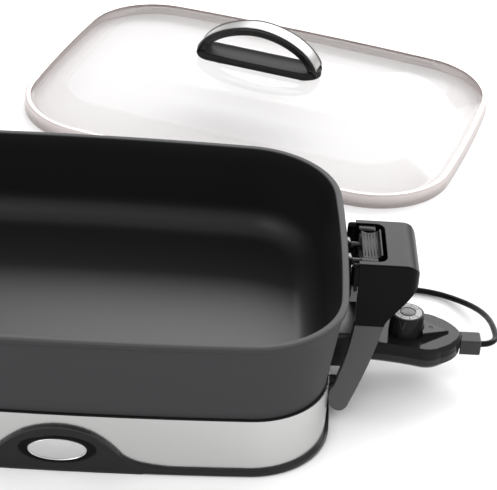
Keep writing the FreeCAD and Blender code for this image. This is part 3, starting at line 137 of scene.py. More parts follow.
# Each finish: colour, roughness and what else surface() takes
FINISHES = {
    "cast_outside": ((0.044, 0.044, 0.046), 0.56, dict(grain=(900, 0.12, 0.08), level=0.08)),
    "nonstick_inside": ((0.008, 0.008, 0.0085), 0.38, dict(grain=(1400, 0.10, 0.05), edge=0, level=0.22)),
    "rim_edge": ((0.062, 0.062, 0.064), 0.50, dict(grain=(900, 0.06, 0.05), edge=0, level=0.10)),
    "brushed_band": ((0.53, 0.527, 0.523), 0.25, dict(metal=1.0, streaks=(2600, 0.34, 0.07), edge=0.2)),
    "satin_black": ((0.012, 0.012, 0.013), 0.34, dict(level=0.4, grain=(1800, 0.08, 0.05))),
    "gloss_black": ((0.001, 0.001, 0.0012), 0.27, dict(edge=0.9, level=0.08)),
    "ring_gloss": ((0.001, 0.001, 0.0012), 0.06, dict(edge=1.0, level=0.10)),
    "foot_black": ((0.011, 0.010, 0.011), 0.50, dict(grain=(1800, 0.10, 0.06), edge=0.8, level=0.12)),
    "probe_black": ((0.014, 0.014, 0.0145), 0.10, dict(edge=1.2, level=0.07)),
    "black_wire": ((0.012, 0.012, 0.012), 0.22, dict(edge=0.2)),
    # probe_under_painted_sheen is a lighter copy of probe_black: painted sheen that makes the lower case
    # lighter than the upper one
    "probe_under_painted_sheen": ((0.034, 0.034, 0.035), 0.12, dict(edge=1.2, level=0.09)),
    "button_black": ((0.004, 0.004, 0.0045), 0.24, dict(level=0.07, grain=(1500, 0.08, 0.05), edge=0.4)),
    "charcoal_plastic": ((0.062, 0.062, 0.064), 0.40, dict(grain=(1800, 0.12, 0.06), edge=0.8)),
    "relief_plastic": ((0.036, 0.036, 0.038), 0.45, dict(grain=(1800, 0.12, 0.06), edge=0.8, level=0.15)),
    "badge_metal": ((0.60, 0.60, 0.60), 0.30, dict(metal=1.0, streaks=(2600, 0.16, 0.05), edge=0.2)),
    "plated_wire": ((0.62, 0.62, 0.61), 0.20, dict(metal=1.0, edge=0.2)),
    "element_sheath": ((0.16, 0.15, 0.14), 0.42, dict(metal=0.9, grain=(700, 0.15, 0.1), edge=0)),
    "shield_sheet": ((0.56, 0.56, 0.55), 0.36, dict(metal=1.0, grain=(300, 0.08, 0.1), edge=0.2)),
    "rubber": ((0.020, 0.020, 0.020), 0.72, dict(grain=(1200, 0.1, 0.06))),
    "lens": ((0.012, 0.003, 0.003), 0.30, dict(edge=0.3, level=0.1)),
    "dial_silver": ((0.24, 0.24, 0.245), 0.45,
                    dict(metal=0.4, grain=(1500, 0.06, 0.04), edge=0.3, level=0.25)),
    "dial_grey": ((0.075, 0.075, 0.078), 0.35, dict(grain=(1500, 0.06, 0.04), edge=0.3, level=0.25)),
    "ink": ((0.012, 0.012, 0.013), 0.5, dict(edge=0)),
    "cord_jacket": ((0.004, 0.004, 0.0043), 0.26, dict(grain=(900, 0.05, 0.05), edge=0, level=0.10)),
    "lid_glass": ((0.42, 0.40, 0.40), 0.04, dict(alpha=0.17, edge=0, level=0.4)),
    # The slope and edge glasses are darker, more opaque copies of lid_glass: painted shade for the darker
    # look the glass takes where it is steep and at its flange
    "glass_slope_painted_shade": ((0.44, 0.40, 0.40), 0.04, dict(alpha=0.24, edge=0, level=0.4)),
    "glass_edge_painted_shade": ((0.44, 0.38, 0.36), 0.06, dict(alpha=0.34, edge=0, level=0.4)),
    "satin_gloss": ((0.006, 0.006, 0.0065), 0.18, dict(edge=0.6, level=0.28)),
    "handle_steel": ((0.34, 0.335, 0.33), 0.30, dict(metal=1.0, streaks=(2600, 0.2, 0.05), edge=0.3)),
    "lid_steel": ((0.54, 0.49, 0.48), 0.36,
                  dict(metal=0.6, streaks=(1500, 0.04, 0.03), edge=0.3, level=0.4)),
}
MAT = {key: surface(key, color, rough, **more) for key, (color, rough, more) in FINISHES.items()}

NODE_MATERIALS = {
    "cast_outside": ["pan_shell"],
    "brushed_band": ["steel_band"],
    "satin_black": ["base_skirt", "socket_guard", "lid_handle_base", "lid_handle_arch"],
    "gloss_black": ["badge_bezel", "handle_right_grip", "handle_left_grip"],
    "probe_black": ["probe_upper_case", "dial_knob"],
    "probe_under_painted_sheen": ["probe_lower_case"],
    "button_black": ["latch_button_right", "latch_button_left"],
    "charcoal_plastic": ["handle_right_frame", "handle_left_frame", "thermostat_block"],
    "relief_plastic": ["strain_relief"],
    "badge_metal": ["badge_plate"],
    "black_wire": ["pan_loop_left", "pan_loop_right"],
    "plated_wire": ["terminal_pins", "hinge_pins", "base_screws", "guard_screws", "handle_right_screws",
                    "handle_left_screws", "lid_screws", "plug_blades", "sensor_rod", "sensor_sleeve",
                    "probe_contacts", "dial_shaft"],
    "element_sheath": ["heating_element"],
    "shield_sheet": ["heat_shield"],
    "rubber": ["rubber_feet", "lid_washers", "cord_tie"],
    "lens": ["pilot_lens"],
    "dial_silver": ["dial_cap"],
    "cord_jacket": ["power_cord", "cord_coil", "plug_body"],
    "lid_glass": ["lid_glass"],
    "lid_steel": ["lid_rim", "lid_handle_trim"],
}


def dress_nodes():
    """Gives every solid its material."""
    for key, names in NODE_MATERIALS.items():
        for name in names:
            mesh = NODES[name].data
            if not mesh.materials:
                mesh.materials.append(None)
            for index in range(len(mesh.materials)):
                mesh.materials[index] = MAT[key]


# Mesh helpers

def quarter_turn(steps, first=0):
    """The sine and cosine at each step of a quarter turn."""
    for step in range(first, steps + 1):
        t = math.pi / 2 * step / steps
        yield math.sin(t), math.cos(t)


def outline(shape, inset, arc_steps=20, side_steps=14):
    """Points round a rectangle with bowed sides and round corners, drawn in by a distance."""
    half_x, half_y, corner = [value - inset for value in shape]
    long_r, short_r = LONG_RADIUS - inset, SHORT_RADIUS - inset
    a = Vector((0.0, half_y - long_r))
    b = Vector((half_x - short_r, 0.0))
    reach_a, reach_b = long_r - corner, short_r - corner
    between = b - a
    span = between.length
    along = (reach_a ** 2 - reach_b ** 2 + span ** 2) / (2 * span)
    across = math.sqrt(max(0.0, reach_a ** 2 - along ** 2))
    unit = between / span
    normal = Vector((-unit.y, unit.x))
    centre = max((a + unit * along + normal * (s * across) for s in (1, -1)), key=lambda p: p.x + p.y)
    to_long = math.atan2(*reversed((centre - a)))
    to_short = math.atan2(*reversed((centre - b)))
    quarter = []
    for k in range(side_steps // 2):
        t = to_short * k / (side_steps // 2)
        quarter.append(b + Vector((math.cos(t), math.sin(t))) * short_r)
    for k in range(arc_steps + 1):
        t = to_short + (to_long - to_short) * k / arc_steps
        quarter.append(centre + Vector((math.cos(t), math.sin(t))) * corner)
    for k in range(1, side_steps // 2 + 1):
        t = to_long + (math.pi / 2 - to_long) * k / (side_steps // 2)
        quarter.append(a + Vector((math.cos(t), math.sin(t))) * long_r)
    points = list(quarter)
    points += [Vector((-p.x, p.y)) for p in reversed(quarter[:-1])]
    points += [Vector((-p.x, -p.y)) for p in quarter[1:]]
    points += [Vector((p.x, -p.y)) for p in reversed(quarter[1:-1])]
    return points


def link(name, data):
    """A new object in the scene."""
    piece = bpy.data.objects.new(name, data)
    bpy.context.scene.collection.objects.link(piece)
    return piece


def mesh_piece(name, verts, faces, materials, face_slots=None, sharp=40.0):
    """A smooth-shaded mesh object from millimetre points."""
    mesh = bpy.data.meshes.new(name)
    mesh.from_pydata([Vector(v) * MM for v in verts], [], faces)
    for material in materials:
        mesh.materials.append(material)
    if face_slots:
        for polygon, index in zip(mesh.polygons, face_slots):
            polygon.material_index = index
    mesh.shade_smooth()
    mesh.set_sharp_from_angle(angle=math.radians(sharp))
    mesh.update()
    return link(name, mesh)


def band_faces(rings, count):
    """Four-sided faces between neighbouring rings of count points each."""
    faces = []
    for r in range(rings - 1):
        for k in range(count):
            n = (k + 1) % count
            faces.append((r * count + k, r * count + n, (r + 1) * count + n, (r + 1) * count + k))
    return faces


def skin(name, rings, materials, slots=None, caps=(True, True), sharp=40.0):
    """A skin over rings of equal point counts; slots gives a material index for each band."""
    count = len(rings[0])
    slots = slots or [0] * len(rings)
    verts = [point for ring in rings for point in ring]
    faces = band_faces(len(rings), count)
    marks = [slot for slot in slots[:len(rings) - 1] for _ in range(count)]
    if caps[0]:
        faces.append(tuple(range(count))[::-1])
        marks.append(slots[0])
    if caps[1]:
        faces.append(tuple(range((len(rings) - 1) * count, len(rings) * count)))
        marks.append(slots[-1])
    return mesh_piece(name, verts, faces, materials, marks, sharp)


def at_height(points, z):
    """Plane points lifted to a height."""
    return [(p[0], p[1], z) for p in points]


def bevelled_box(name, low, high, radius, material, segments):
    """A box with round edges."""
    size = Vector(high) - Vector(low)
    middle = (Vector(high) + Vector(low)) / 2
    bm = bmesh.new()
    bmesh.ops.create_cube(bm, size=1.0)
    bmesh.ops.scale(bm, vec=size, verts=bm.verts)
    bmesh.ops.translate(bm, vec=middle, verts=bm.verts)
    bmesh.ops.bevel(bm, geom=bm.edges[:], offset=radius, segments=segments, profile=0.5, affect="EDGES")
    bmesh.ops.scale(bm, vec=(MM, MM, MM), verts=bm.verts)
    mesh = bpy.data.meshes.new(name)
    bm.to_mesh(mesh)
    bm.free()
    mesh.materials.append(material)
    mesh.shade_smooth()
    mesh.set_sharp_from_angle(angle=math.radians(45))
    return link(name, mesh)


def box_between(name, x_limits, y_limits, z_limits, radius, key, segments=2):
    """A box with round edges between two limits on each axis, given in either order."""
    low, high = zip(*(sorted(limits) for limits in (x_limits, y_limits, z_limits)))
    return bevelled_box(name, low, high, radius, MAT[key], segments)


def mirrored(side, limits):
    """Limits taken to one side of the middle: 1 keeps them, -1 mirrors them."""
    return [side * limit for limit in limits]


def around(middle, half):
    """Limits at equal distances from a middle."""
    return (middle - half, middle + half)


def flip_faces(piece):
    """Turns a mesh's faces so that they look outwards."""
    bm = bmesh.new()
    bm.from_mesh(piece.data)
    bmesh.ops.recalc_face_normals(bm, faces=bm.faces)
    bm.to_mesh(piece.data)
    bm.free()


def weld(piece):
    """Joins points that lie on each other."""
    bm = bmesh.new()
    bm.from_mesh(piece.data)
    bmesh.ops.remove_doubles(bm, verts=bm.verts, dist=1e-6)
    bm.to_mesh(piece.data)
    bm.free()


def place(piece, body, slot_name, *nodes):
    """Puts a piece on its body and hides the solids it stands for; slot_name, the name of its finish, is not
    used.
    """
    if nodes:
        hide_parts(*nodes)
    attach(piece, body)
    return piece


def hoop(name, shape, profile, key, sharp, body, slot_name, *nodes, matrix=None):
    """A closed hoop: a profile of insets and heights taken round an outline."""
    rings = [at_height(outline(shape, inset), z) for inset, z in profile]
    rings.append(rings[0])
    piece = skin(name, rings, [MAT[key]], caps=(False, False), sharp=sharp)
    weld(piece)
    flip_faces(piece)
    if matrix:
        piece.matrix_world = matrix
    place(piece, body, slot_name, *nodes)


# The pan

def wall_shape(z):
    """The pan's outer outline at a height, without its lip."""
    share = (z - PAN_SEAT) / (RIM_TOP - PAN_SEAT)
    lipless = [value - RIM_LIP for value in RIM]
    return tuple(w + share * (r - w) for w, r in zip(WAIST, lipless))


RIM_CROWN = 0.1
RIM_INNER_ROUND = 1.2
RIM_OUTER_ROUND = 1.7
LIP_DEPTH = 4.0
LIP_UNDER_ROUND = 0.9
LIP_FLARE = ((109.0, -0.3), (107.6, 0.0))
INSIDE_HEIGHTS = (76.0, 90.0, 102.0)
OUTSIDE_HEIGHTS = (100.0, 86.0, 70.0, 56.0, PAN_SEAT + 0.9)
SEAT_EDGE = ((0.25, 0.3), (0.9, 0.0), (TUB_LEDGE, 0.0))
FLOOR_INSET = 20.0
LOOP_BOSS_HALF = 4.5
LOOP_BOSS_END = 213.0
LOOP_BOSS_SUNK = 2.0
LOOP_BOSS_ROUND = 1.6
LOOP_SPREAD = 11.7


def make_pan():
    """The cast pan as one skin, from its floor over its rim and down to its tub, and its loops' bosses."""
    rings, slots = [], []

    def add(shape, inset, z, slot):
        rings.append(at_height(outline(shape, inset), z))
        slots.append(slot)

    inside, edge, outside = 0, 1, 2
    knee = FLOOR_TOP + KNEE_RADIUS
    knee_shape = wall_shape(knee)
    add(knee_shape, PAN_WALL + KNEE_RADIUS + FLOOR_INSET, FLOOR_TOP, inside)
    for rise, run in quarter_turn(12):
        add(knee_shape, PAN_WALL + KNEE_RADIUS * (1 - rise), knee - KNEE_RADIUS * run, inside)
    top = RIM_TOP - RIM_CROWN
    shoulder = top - RIM_INNER_ROUND
    for z in (*INSIDE_HEIGHTS, shoulder):
        add(wall_shape(z), PAN_WALL, z, inside)
    for index, (rise, run) in enumerate(quarter_turn(4, 1)):
        inset = RIM_LIP + PAN_WALL - RIM_INNER_ROUND * (1 - run)
        add(RIM, inset, shoulder + RIM_INNER_ROUND * rise, edge if index > 0 else inside)
    for index, (rise, run) in enumerate(quarter_turn(6)):
        z = top - RIM_OUTER_ROUND * (1 - run)
        add(RIM, RIM_OUTER_ROUND * (1 - rise), z, edge if index < 5 else outside)
    for rise, run in quarter_turn(4):
        add(RIM, LIP_UNDER_ROUND * (1 - run), RIM_TOP - LIP_DEPTH - LIP_UNDER_ROUND * rise, outside)
    for z, inset in LIP_FLARE:
        add(wall_shape(z), inset, z, outside)
    for z in OUTSIDE_HEIGHTS:
        add(wall_shape(z), 0.0, z, outside)
    for inset, lift in SEAT_EDGE:
        add(WAIST, inset, PAN_SEAT + lift, outside)
    radius = PAN_SEAT - FLOOR_UNDER
    for rise, run in quarter_turn(8, 1):
        add(WAIST, TUB_LEDGE + radius * (1 - run), PAN_SEAT - radius * rise, outside)
    keys = ("nonstick_inside", "rim_edge", "cast_outside")
    pan = skin("pan_body", rings, [MAT[key] for key in keys], slots, sharp=50.0)
    flip_faces(pan)
    place(pan, "base", "nonstick_cast", "pan_shell")
    reach = wall_shape(LOOP_Z)[0] - LOOP_BOSS_SUNK
    for side, word in SIDES:
        for way, end in ENDS:
            boss = box_between(f"loop_boss_{word}_{end}", mirrored(side, (reach, LOOP_BOSS_END)),
                               around(way * LOOP_SPREAD, LOOP_BOSS_HALF), around(LOOP_Z, LOOP_BOSS_HALF),
                               LOOP_BOSS_ROUND, "black_wire", 3)
            place(boss, "base", "nonstick_cast")


# The base's front

def front_y(x, proud):
    """The base's front surface at a distance from the middle, standing proud of the band."""
    return -(BASE[1] + proud) + x * x / (2 * LONG_RADIUS)


def arch_top(x):
    """The bell-shaped front's height at a distance from the middle, smooth between its points."""
    x = min(abs(x), ARCH_LINE[-1][0])
    for (x0, z0, m0), (x1, z1, m1) in zip(ARCH_LINE, ARCH_LINE[1:]):
        if x <= x1:
            w = x1 - x0
            t = (x - x0) / w
            return (z0 * (2 * t ** 3 - 3 * t ** 2 + 1) + m0 * w * (t ** 3 - 2 * t ** 2 + t)
                    + z1 * (3 * t ** 2 - 2 * t ** 3) + m1 * w * (t ** 3 - t ** 2))
    return ARCH_LINE[-1][1]


SKIRT_PROUD = 3.05
SKIRT_ROUND = 1.45
SKIRT_TOP = 5.1
SKIRT_FOOT = 0.3
SKIRT_SUNK = 1.2
ARCH_ROUND = 1.25
ARCH_SUNK = 0.05
ARCH_FOOT = 2.0


def make_front():
    """The skirt's lip and the bell-shaped front that flows out of it."""
    flat = SKIRT_PROUD - SKIRT_ROUND
    profile = [(SKIRT_SUNK, SKIRT_TOP), (-flat, SKIRT_TOP)]
    for rise, run in quarter_turn(5, 1):
        profile.append((-flat - SKIRT_ROUND * rise, SKIRT_TOP - SKIRT_ROUND * (1 - run)))
    profile += [(-SKIRT_PROUD, 1.2), (-2.7, 0.5), (-1.8, SKIRT_FOOT), (SKIRT_SUNK, SKIRT_FOOT)]
    hoop("skirt_lip", BASE, profile, "satin_gloss", 60.0, "base", "satin_black")
    verts, faces = [], []
    columns, rows = 120, 4
    reach = ARCH_LINE[-1][0]
    flat = SKIRT_PROUD - ARCH_ROUND
    for column in range(columns + 1):
        x = -reach + 2 * reach * column / columns
        top = arch_top(x)
        verts.append((x, front_y(x, ARCH_SUNK), top))
        for rise, run in quarter_turn(4):
            verts.append((x, front_y(x, flat + ARCH_ROUND * rise), top - ARCH_ROUND * (1 - run)))
        for row in range(1, rows + 1):
            share = row / rows
            z = (top - ARCH_ROUND) * (1 - share) + ARCH_FOOT * share
            verts.append((x, front_y(x, SKIRT_PROUD), z))
    per = len(verts) // (columns + 1)
    for column in range(columns):
        for row in range(per - 1):
            a = column * per + row
            faces.append((a, a + per, a + per + 1, a + 1))
    arch = mesh_piece("front_arch", verts, faces, [MAT["satin_gloss"]], sharp=60.0)
    place(arch, "base", "satin_black")


def oval_piece(name, rings, material, cap):
    """A skin over oval rings on the base's front: half width, half height and how proud each is."""
    steps = 72
    verts = []
    for half_x, half_z, proud in rings:
        for step in range(steps):
            t = 2 * math.pi * step / steps
            x = half_x * math.cos(t)
            verts.append((x, front_y(x, proud), BADGE_Z + half_z * math.sin(t)))
    faces = band_faces(len(rings), steps)
    if cap:
        faces.append(tuple(range((len(rings) - 1) * steps, len(rings) * steps)))
    return mesh_piece(name, verts, faces, [material], sharp=60.0)


RING_OUTSIDE = (29.0, 12.5)
RING_INSIDE = (21.4, 9.3)
RING_FOOT = 3.0
RING_RISE = 1.15
RING_FULLNESS = 0.7
LINE_PROFILE = ((21.9, 9.8, 2.9), (21.7, 9.6, 3.6), (21.3, 9.2, 3.85), (20.9, 8.8, 3.6), (20.8, 8.7, 3.2))
PLATE_HALF = (20.9, 8.8)
PLATE_FOOT = 3.1
PLATE_RISE = 0.75


def make_badge():
    """The glossy ring, a bright line inside it, and the bare, slightly domed oval plate."""
    ring = []
    ring_steps, plate_steps = 12, 9
    for step in range(ring_steps + 1):
        share = step / ring_steps
        halves = [far + (near - far) * share for far, near in zip(RING_OUTSIDE, RING_INSIDE)]
        ring.append((*halves, RING_FOOT + RING_RISE * math.sin(math.pi * share) ** RING_FULLNESS))
    bezel = oval_piece("badge_ring", ring, MAT["ring_gloss"], False)
    place(bezel, "base", "gloss_black", "badge_bezel")
    line = oval_piece("badge_line", LINE_PROFILE, MAT["plated_wire"], False)
    place(line, "base", "badge_metal")
    dome = []
    for step in range(plate_steps):
        share = 1.0 - step / plate_steps
        halves = [half * share for half in PLATE_HALF]
        dome.append((*halves, PLATE_FOOT + PLATE_RISE * (1 - share ** 2)))
    plate = oval_piece("badge_dome", dome, MAT["badge_metal"], True)
    place(plate, "base", "badge_metal", "badge_plate")


# The lid

def lid_matrix():
    """From the lid's own frame to where it lies."""
    turn = Matrix.Rotation(math.radians(LID_TURN), 4, "Z")
    return Matrix.Translation(Vector((LID_PLACE[0], LID_PLACE[1], 0)) * MM) @ turn


DOME_STEPS = 26
SLOPE_STEPS = 7
DOME_BORDER = 5.0
DOME_CORE = 34.0
CORNER_FADE = 0.75
CORNER_LEAST = 18.0
GLASS_ROUND = 0.6
HOOP_ROUND = 1.6
HOOP_WALL = 0.8
HOOP_FOLD = 5.0


def dome_rings(inner):
    """Rings of the glass from its edge to its crown, on its outer or its inner side."""
    rings = []
    drop = GLASS if inner else 0.0
    start = DOME_BORDER + drop
    reach = GLASS_EDGE[1] - DOME_CORE
    for step in range(DOME_STEPS + 1):
        share = step / DOME_STEPS
        inset = start + (reach - start) * share
        rise = (CROWN_Z - GLASS_TOP) * math.sin(math.pi / 2 * share)
        corner = max(GLASS_EDGE[2] - CORNER_FADE * inset, CORNER_LEAST)
        shape = (GLASS_EDGE[0] - inset, GLASS_EDGE[1] - inset, corner)
        rings.append(at_height(outline(shape, 0.0), GLASS_TOP + rise - drop))
    return rings


def make_lid():
    """The glass with its flange, and the folded steel rim."""
    rings = dome_rings(False)[::-1]
    # The slope and border bands take the darker glass finishes: painted shade where the glass is steep and at
    # its flange
    crown, slope, border = 0, 1, 2
    bands = [crown if step < DOME_STEPS - SLOPE_STEPS else slope for step in range(DOME_STEPS)] + [border]
    under = GLASS_TOP - GLASS
    for inset, z in ((GLASS_ROUND, GLASS_TOP), (0.0, GLASS_TOP - GLASS_ROUND),
                     (0.0, under + GLASS_ROUND), (GLASS_ROUND, under)):
        rings.append(at_height(outline(GLASS_EDGE, inset), z))
        bands.append(border)
    rings += dome_rings(True)
    bands += [slope if step < SLOPE_STEPS else crown for step in range(DOME_STEPS + 1)]
    materials = [MAT[key] for key in ("lid_glass", "glass_slope_painted_shade", "glass_edge_painted_shade")]
    glass = skin("lid_dome", rings, materials, bands, sharp=60.0)
    flip_faces(glass)
    glass.matrix_world = lid_matrix()
    place(glass, "lid", "lid_glass", "lid_glass")
    shoulder = LID_SKIRT - HOOP_ROUND
    profile = [(0.0, 0.0), (0.0, shoulder)]
    for rise, run in quarter_turn(6, 1):
        profile.append((HOOP_ROUND * (1 - run), shoulder + HOOP_ROUND * rise))
    profile += [(HOOP_FOLD - 0.6, LID_SKIRT), (HOOP_FOLD, LID_SKIRT - 0.25), (HOOP_FOLD, LID_SKIRT - 0.75),
                (1.7, LID_SKIRT - HOOP_WALL), (0.9, shoulder), (HOOP_WALL, 0.3), (0.6, 0.0)]
    hoop("lid_hoop", LID_EDGE, profile, "lid_steel", 50.0, "lid", "lid_steel", "lid_rim", matrix=lid_matrix())


def handle_matrix():
    """From the lid handle's own frame, whose middle lies a little off the lid's."""
    return lid_matrix() @ Matrix.Translation(Vector((LID_HANDLE_SHIFT, 0.0, CROWN_Z + HANDLE_GAP)) * MM)


ARCH_STEPS = 48
ARCH_BOW = 1.1
HANDLE_FOOT = 2.4
# The foot plate's section: how far it is drawn in, and its height
FOOT_PROFILE = ((0.0, 0.0), (0.0, 1.6), (0.4, 3.0), (1.2, 4.2), (2.4, 5.0), (3.6, 5.2), (5.0, 4.6),
                (8.0, 3.6), (14.0, 3.2))
TOE_HEIGHT = 3.0
STRIP_SKIP = 3


def arch_points(inset, drop):
    """Points over a flat oval arch, from foot to foot, drawn in from the handle's ends and from its top."""
    half, rise = HANDLE_HALF - inset, HANDLE_RISE - HANDLE_FOOT - drop
    points = []
    for step in range(ARCH_STEPS + 1):
        t = math.pi * step / ARCH_STEPS
        x = -half * math.copysign(abs(math.cos(t)) ** ARCH_BOW, math.cos(t))
        points.append((x, HANDLE_FOOT + rise * math.sin(t) ** ARCH_BOW))
    return points


def arch_piece(name, outer, inner, half_width, round_edge, key, slot_name, node):
    """A bar over an arch, whose section is a rectangle with rounded edges."""
    section = []
    for across, way in ((1, 1), (-1, -1)):
        for step in range(4):
            t = math.pi / 2 * step / 3
            w = half_width - round_edge * (1 - math.sin(t) if way > 0 else 1 - math.cos(t))
            d = round_edge * (1 - math.cos(t) if way > 0 else 1 - math.sin(t))
            section.append((across * w, d))
    low_w = half_width - round_edge * 0.5
    verts = []
    for (xo, zo), (xi, zi) in zip(outer, inner):
        length = math.hypot(xo - xi, zo - zi)
        ux, uz = (xo - xi) / length, (zo - zi) / length
        for y, d in section:
            verts.append((xo - ux * d, y, zo - uz * d))
        verts.append((xi, -low_w, zi))
        verts.append((xi, low_w, zi))
    ring = len(section) + 2
    faces = band_faces(len(outer), ring)
    faces.append(tuple(range(ring)))
    faces.append(tuple(range((len(outer) - 1) * ring, len(outer) * ring))[::-1])
    piece = mesh_piece(name, verts, faces, [MAT[key]], sharp=50.0)
    flip_faces(piece)
    piece.matrix_world = handle_matrix()
    place(piece, "lid", slot_name, node)


def stadium(half_length, half_width, steps=16):
    """Points round a shape with two straight sides and two half circles."""
    points = []
    for side in (1, -1):
        for step in range(steps + 1):
            t = -math.pi / 2 + math.pi * step / steps
            x = half_length - half_width + half_width * math.cos(t)
            points.append((side * x, side * half_width * math.sin(t)))
    return points


def make_lid_handle():
    """The lid's handle: a dished foot plate, an oval arch and a brushed strip over it."""
    rings = []
    for inset, z in FOOT_PROFILE:
        toe = HANDLE_TOE * min(1.0, z / TOE_HEIGHT)
        points = stadium(HANDLE_HALF - inset, HANDLE_WIDTH - inset)
        rings.append([(x, y, z + toe * (abs(x) / HANDLE_HALF) ** 3) for x, y in points])
    plate = skin("lid_foot_plate", rings, [MAT["foot_black"]], sharp=70.0)
    flip_faces(plate)
    plate.matrix_world = handle_matrix()
    place(plate, "lid", "gloss_black", "lid_handle_base")
    arch_piece("lid_arch", arch_points(1.5, 1.1), arch_points(10.0, 8.6), 11.0, 2.2,
               "satin_gloss", "gloss_black", "lid_handle_arch")
    shown = slice(STRIP_SKIP, -STRIP_SKIP)
    arch_piece("lid_arch_strip", arch_points(0.6, 0.0)[shown], arch_points(3.0, 2.4)[shown], 9.4, 0.8,
               "handle_steel", "lid_steel", "lid_handle_trim")


# The cord

CORD_DIAMETER = 5.0
CORD_Z = 2.8
COIL = (70.0, 211.0)
COIL_RADIUS = 33.0
COIL_PITCH = 5.7
COIL_TURNS = 3.5
COIL_STEPS = 24
COIL_RISE = (1.5, 0.5)
CORD_TAIL = (-1.0, 16.2)
CORD_ROUTE = [
    (322.3, 0.0, 29.0), (325.1, 0.15, 29.0), (328.9, 1.3, 28.9), (332.3, 3.8, 28.7), (334.7, 7.2, 28.3),
    (336.1, 11.6, 27.7), (336.8, 18.6, 26.5), (336.8, 30.6, 24.1), (336.4, 45.0, 20.3),
    (334.4, 61.0, 15.6), (330.0, 77.0, 10.6), (322.5, 91.5, 6.3), (312.0, 102.5, 3.6),
    (299.0, 110.0, CORD_Z), (283.0, 113.5, CORD_Z), (266.0, 114.0, CORD_Z), (249.0, 112.5, CORD_Z),
    (232.0, 112.0, CORD_Z), (216.5, 118.5, CORD_Z), (204.0, 131.0, CORD_Z), (193.0, 147.0, CORD_Z),
    (178.0, 161.0, CORD_Z), (159.0, 170.4, CORD_Z), (138.0, 175.8, CORD_Z), (117.0, 177.8, CORD_Z),
    (96.0, 178.0, CORD_Z), (75.0, 178.0, CORD_Z),
]


def coil_turns():
    """The coil's points: in on one layer, up, and out on the next, a turn at a time."""
    # The smooth line runs a little inside its points, so they stand off by this much
    swell = 8.0 / (6.0 + 2.0 * math.cos(2 * math.pi / COIL_STEPS))
    middle = COIL_TURNS / 2
    start, length = COIL_RISE
    points = []
    for step in range(1, int(COIL_TURNS * COIL_STEPS)):
        turns = step / COIL_STEPS
        angle = math.radians(-90.0) - 2 * math.pi * turns
        radius = (COIL_RADIUS - COIL_PITCH * (middle - abs(turns - middle))) * swell
        share = min(1.0, max(0.0, (turns - start) / length))
        z = CORD_Z + COIL_PITCH * (1 - math.cos(math.pi * share)) / 2
        points.append((COIL[0] + radius * math.cos(angle), COIL[1] + radius * math.sin(angle), z))
    return points


def make_cord():
    """The cord's one line, from the strain relief through the coil to the plug."""
    top = CORD_Z + COIL_PITCH
    y_end = COIL[1] + COIL_RADIUS
    points = CORD_ROUTE + coil_turns() + [(COIL[0] + along, y_end, top) for along in CORD_TAIL]
    curve = bpy.data.curves.new("cord_line", "CURVE")
    curve.dimensions = "3D"
    curve.resolution_u = 8
    curve.bevel_depth = CORD_DIAMETER / 2 * MM
    curve.bevel_resolution = 5
    curve.use_fill_caps = True
    spline = curve.splines.new("NURBS")
    spline.points.add(len(points) - 1)
    for item, point in zip(spline.points, points):
        item.co = (*(Vector(point) * MM), 1.0)
    spline.order_u = 3
    spline.use_endpoint_u = True
    curve.materials.append(MAT["cord_jacket"])
    cord = link("cord_line", curve)
    place(cord, "probe", "cord_jacket", "power_cord", "cord_coil")


# Small marks and ribs

PRINT_DEPTH = 0.03
MARK_Z = DIAL_TOP + 0.42
NUMBERS = ("0", "150", "200", "250", "300", "350", "400")
NUMBER_SIZE = 2.7
NUMBER_RADIUS = 8.2
NUMBER_STEP = 41.0
FIRST_NUMBER = 205.0


def label(name, text, size, spot, turn, key, body, slot_name):
    """A flat printed word, as a mesh."""
    curve = bpy.data.curves.new(name + "_text", "FONT")
    curve.body = text
    curve.size = size * MM
    curve.align_x = "CENTER"
    curve.align_y = "CENTER"
    curve.extrude = PRINT_DEPTH * MM
    source = link(name + "_text", curve)
    bpy.context.view_layer.update()
    mesh = bpy.data.meshes.new_from_object(source)
    bpy.data.objects.remove(source)
    mesh.materials.clear()
    mesh.materials.append(MAT[key])
    piece = link(name, mesh)
    piece.matrix_world = Matrix.Translation(Vector(spot) * MM) @ Matrix.Rotation(turn, 4, "Z")
    return place(piece, body, slot_name)


def make_dial_marks():
    """Plain numbers round the dial's silver top."""
    for index, word in enumerate(NUMBERS):
        angle = math.radians(FIRST_NUMBER - NUMBER_STEP * index)
        x = DIAL[0] - NUMBER_RADIUS * math.sin(angle)
        y = DIAL[1] + NUMBER_RADIUS * math.cos(angle)
        label(f"dial_number_{index}", word, NUMBER_SIZE, (x, y, MARK_Z), angle, "ink", "dial", "dial_silver")


# The dial's ring and its middle: radius, and height over the drum's top
RING_PROFILE = ((11.3, -0.5), (11.3, 0.2), (11.1, 0.4), (6.6, 0.4), (6.4, 0.1), (6.4, -0.5))
MIDDLE_PROFILE = ((6.35, 0.0), (6.0, 0.25), (4.0, 0.45), (2.0, 0.55), (0.3, 0.58))
STROKE_HALF = 2.6
LINE_REACH = (6.7, 10.9)
ARROW_REACH = (1.2, 5.6)
ARROW_TURNS = (196.0, 226.0)
ARROW_Z = DIAL_TOP + 0.62
# The pointer on the drum's side: depth under its top, and the stroke's two edges off the middle
POINTER_LINE = ((1.2, 2.3, 3.3), (8.4, 0.0, 0.8))
POINTER_TURN = 250.0
DRUM_RADIUS = 13.08
DRUM_FLARE = 0.8 / 17.0


def dial_point(radius, angle, z):
    """A point at a distance from the dial's axis."""
    return (DIAL[0] + radius * math.cos(angle), DIAL[1] + radius * math.sin(angle), z)


def dial_disc(name, profile, key, cap, sharp, *nodes):
    """A part of the dial that is round about its axis."""
    steps = 64
    rings = [[dial_point(radius, 2 * math.pi * step / steps, DIAL_TOP + rise) for step in range(steps)]
             for radius, rise in profile]
    piece = skin(name, rings, [MAT[key]], caps=(False, cap), sharp=sharp)
    flip_faces(piece)
    place(piece, "dial", "dial_silver", *nodes)


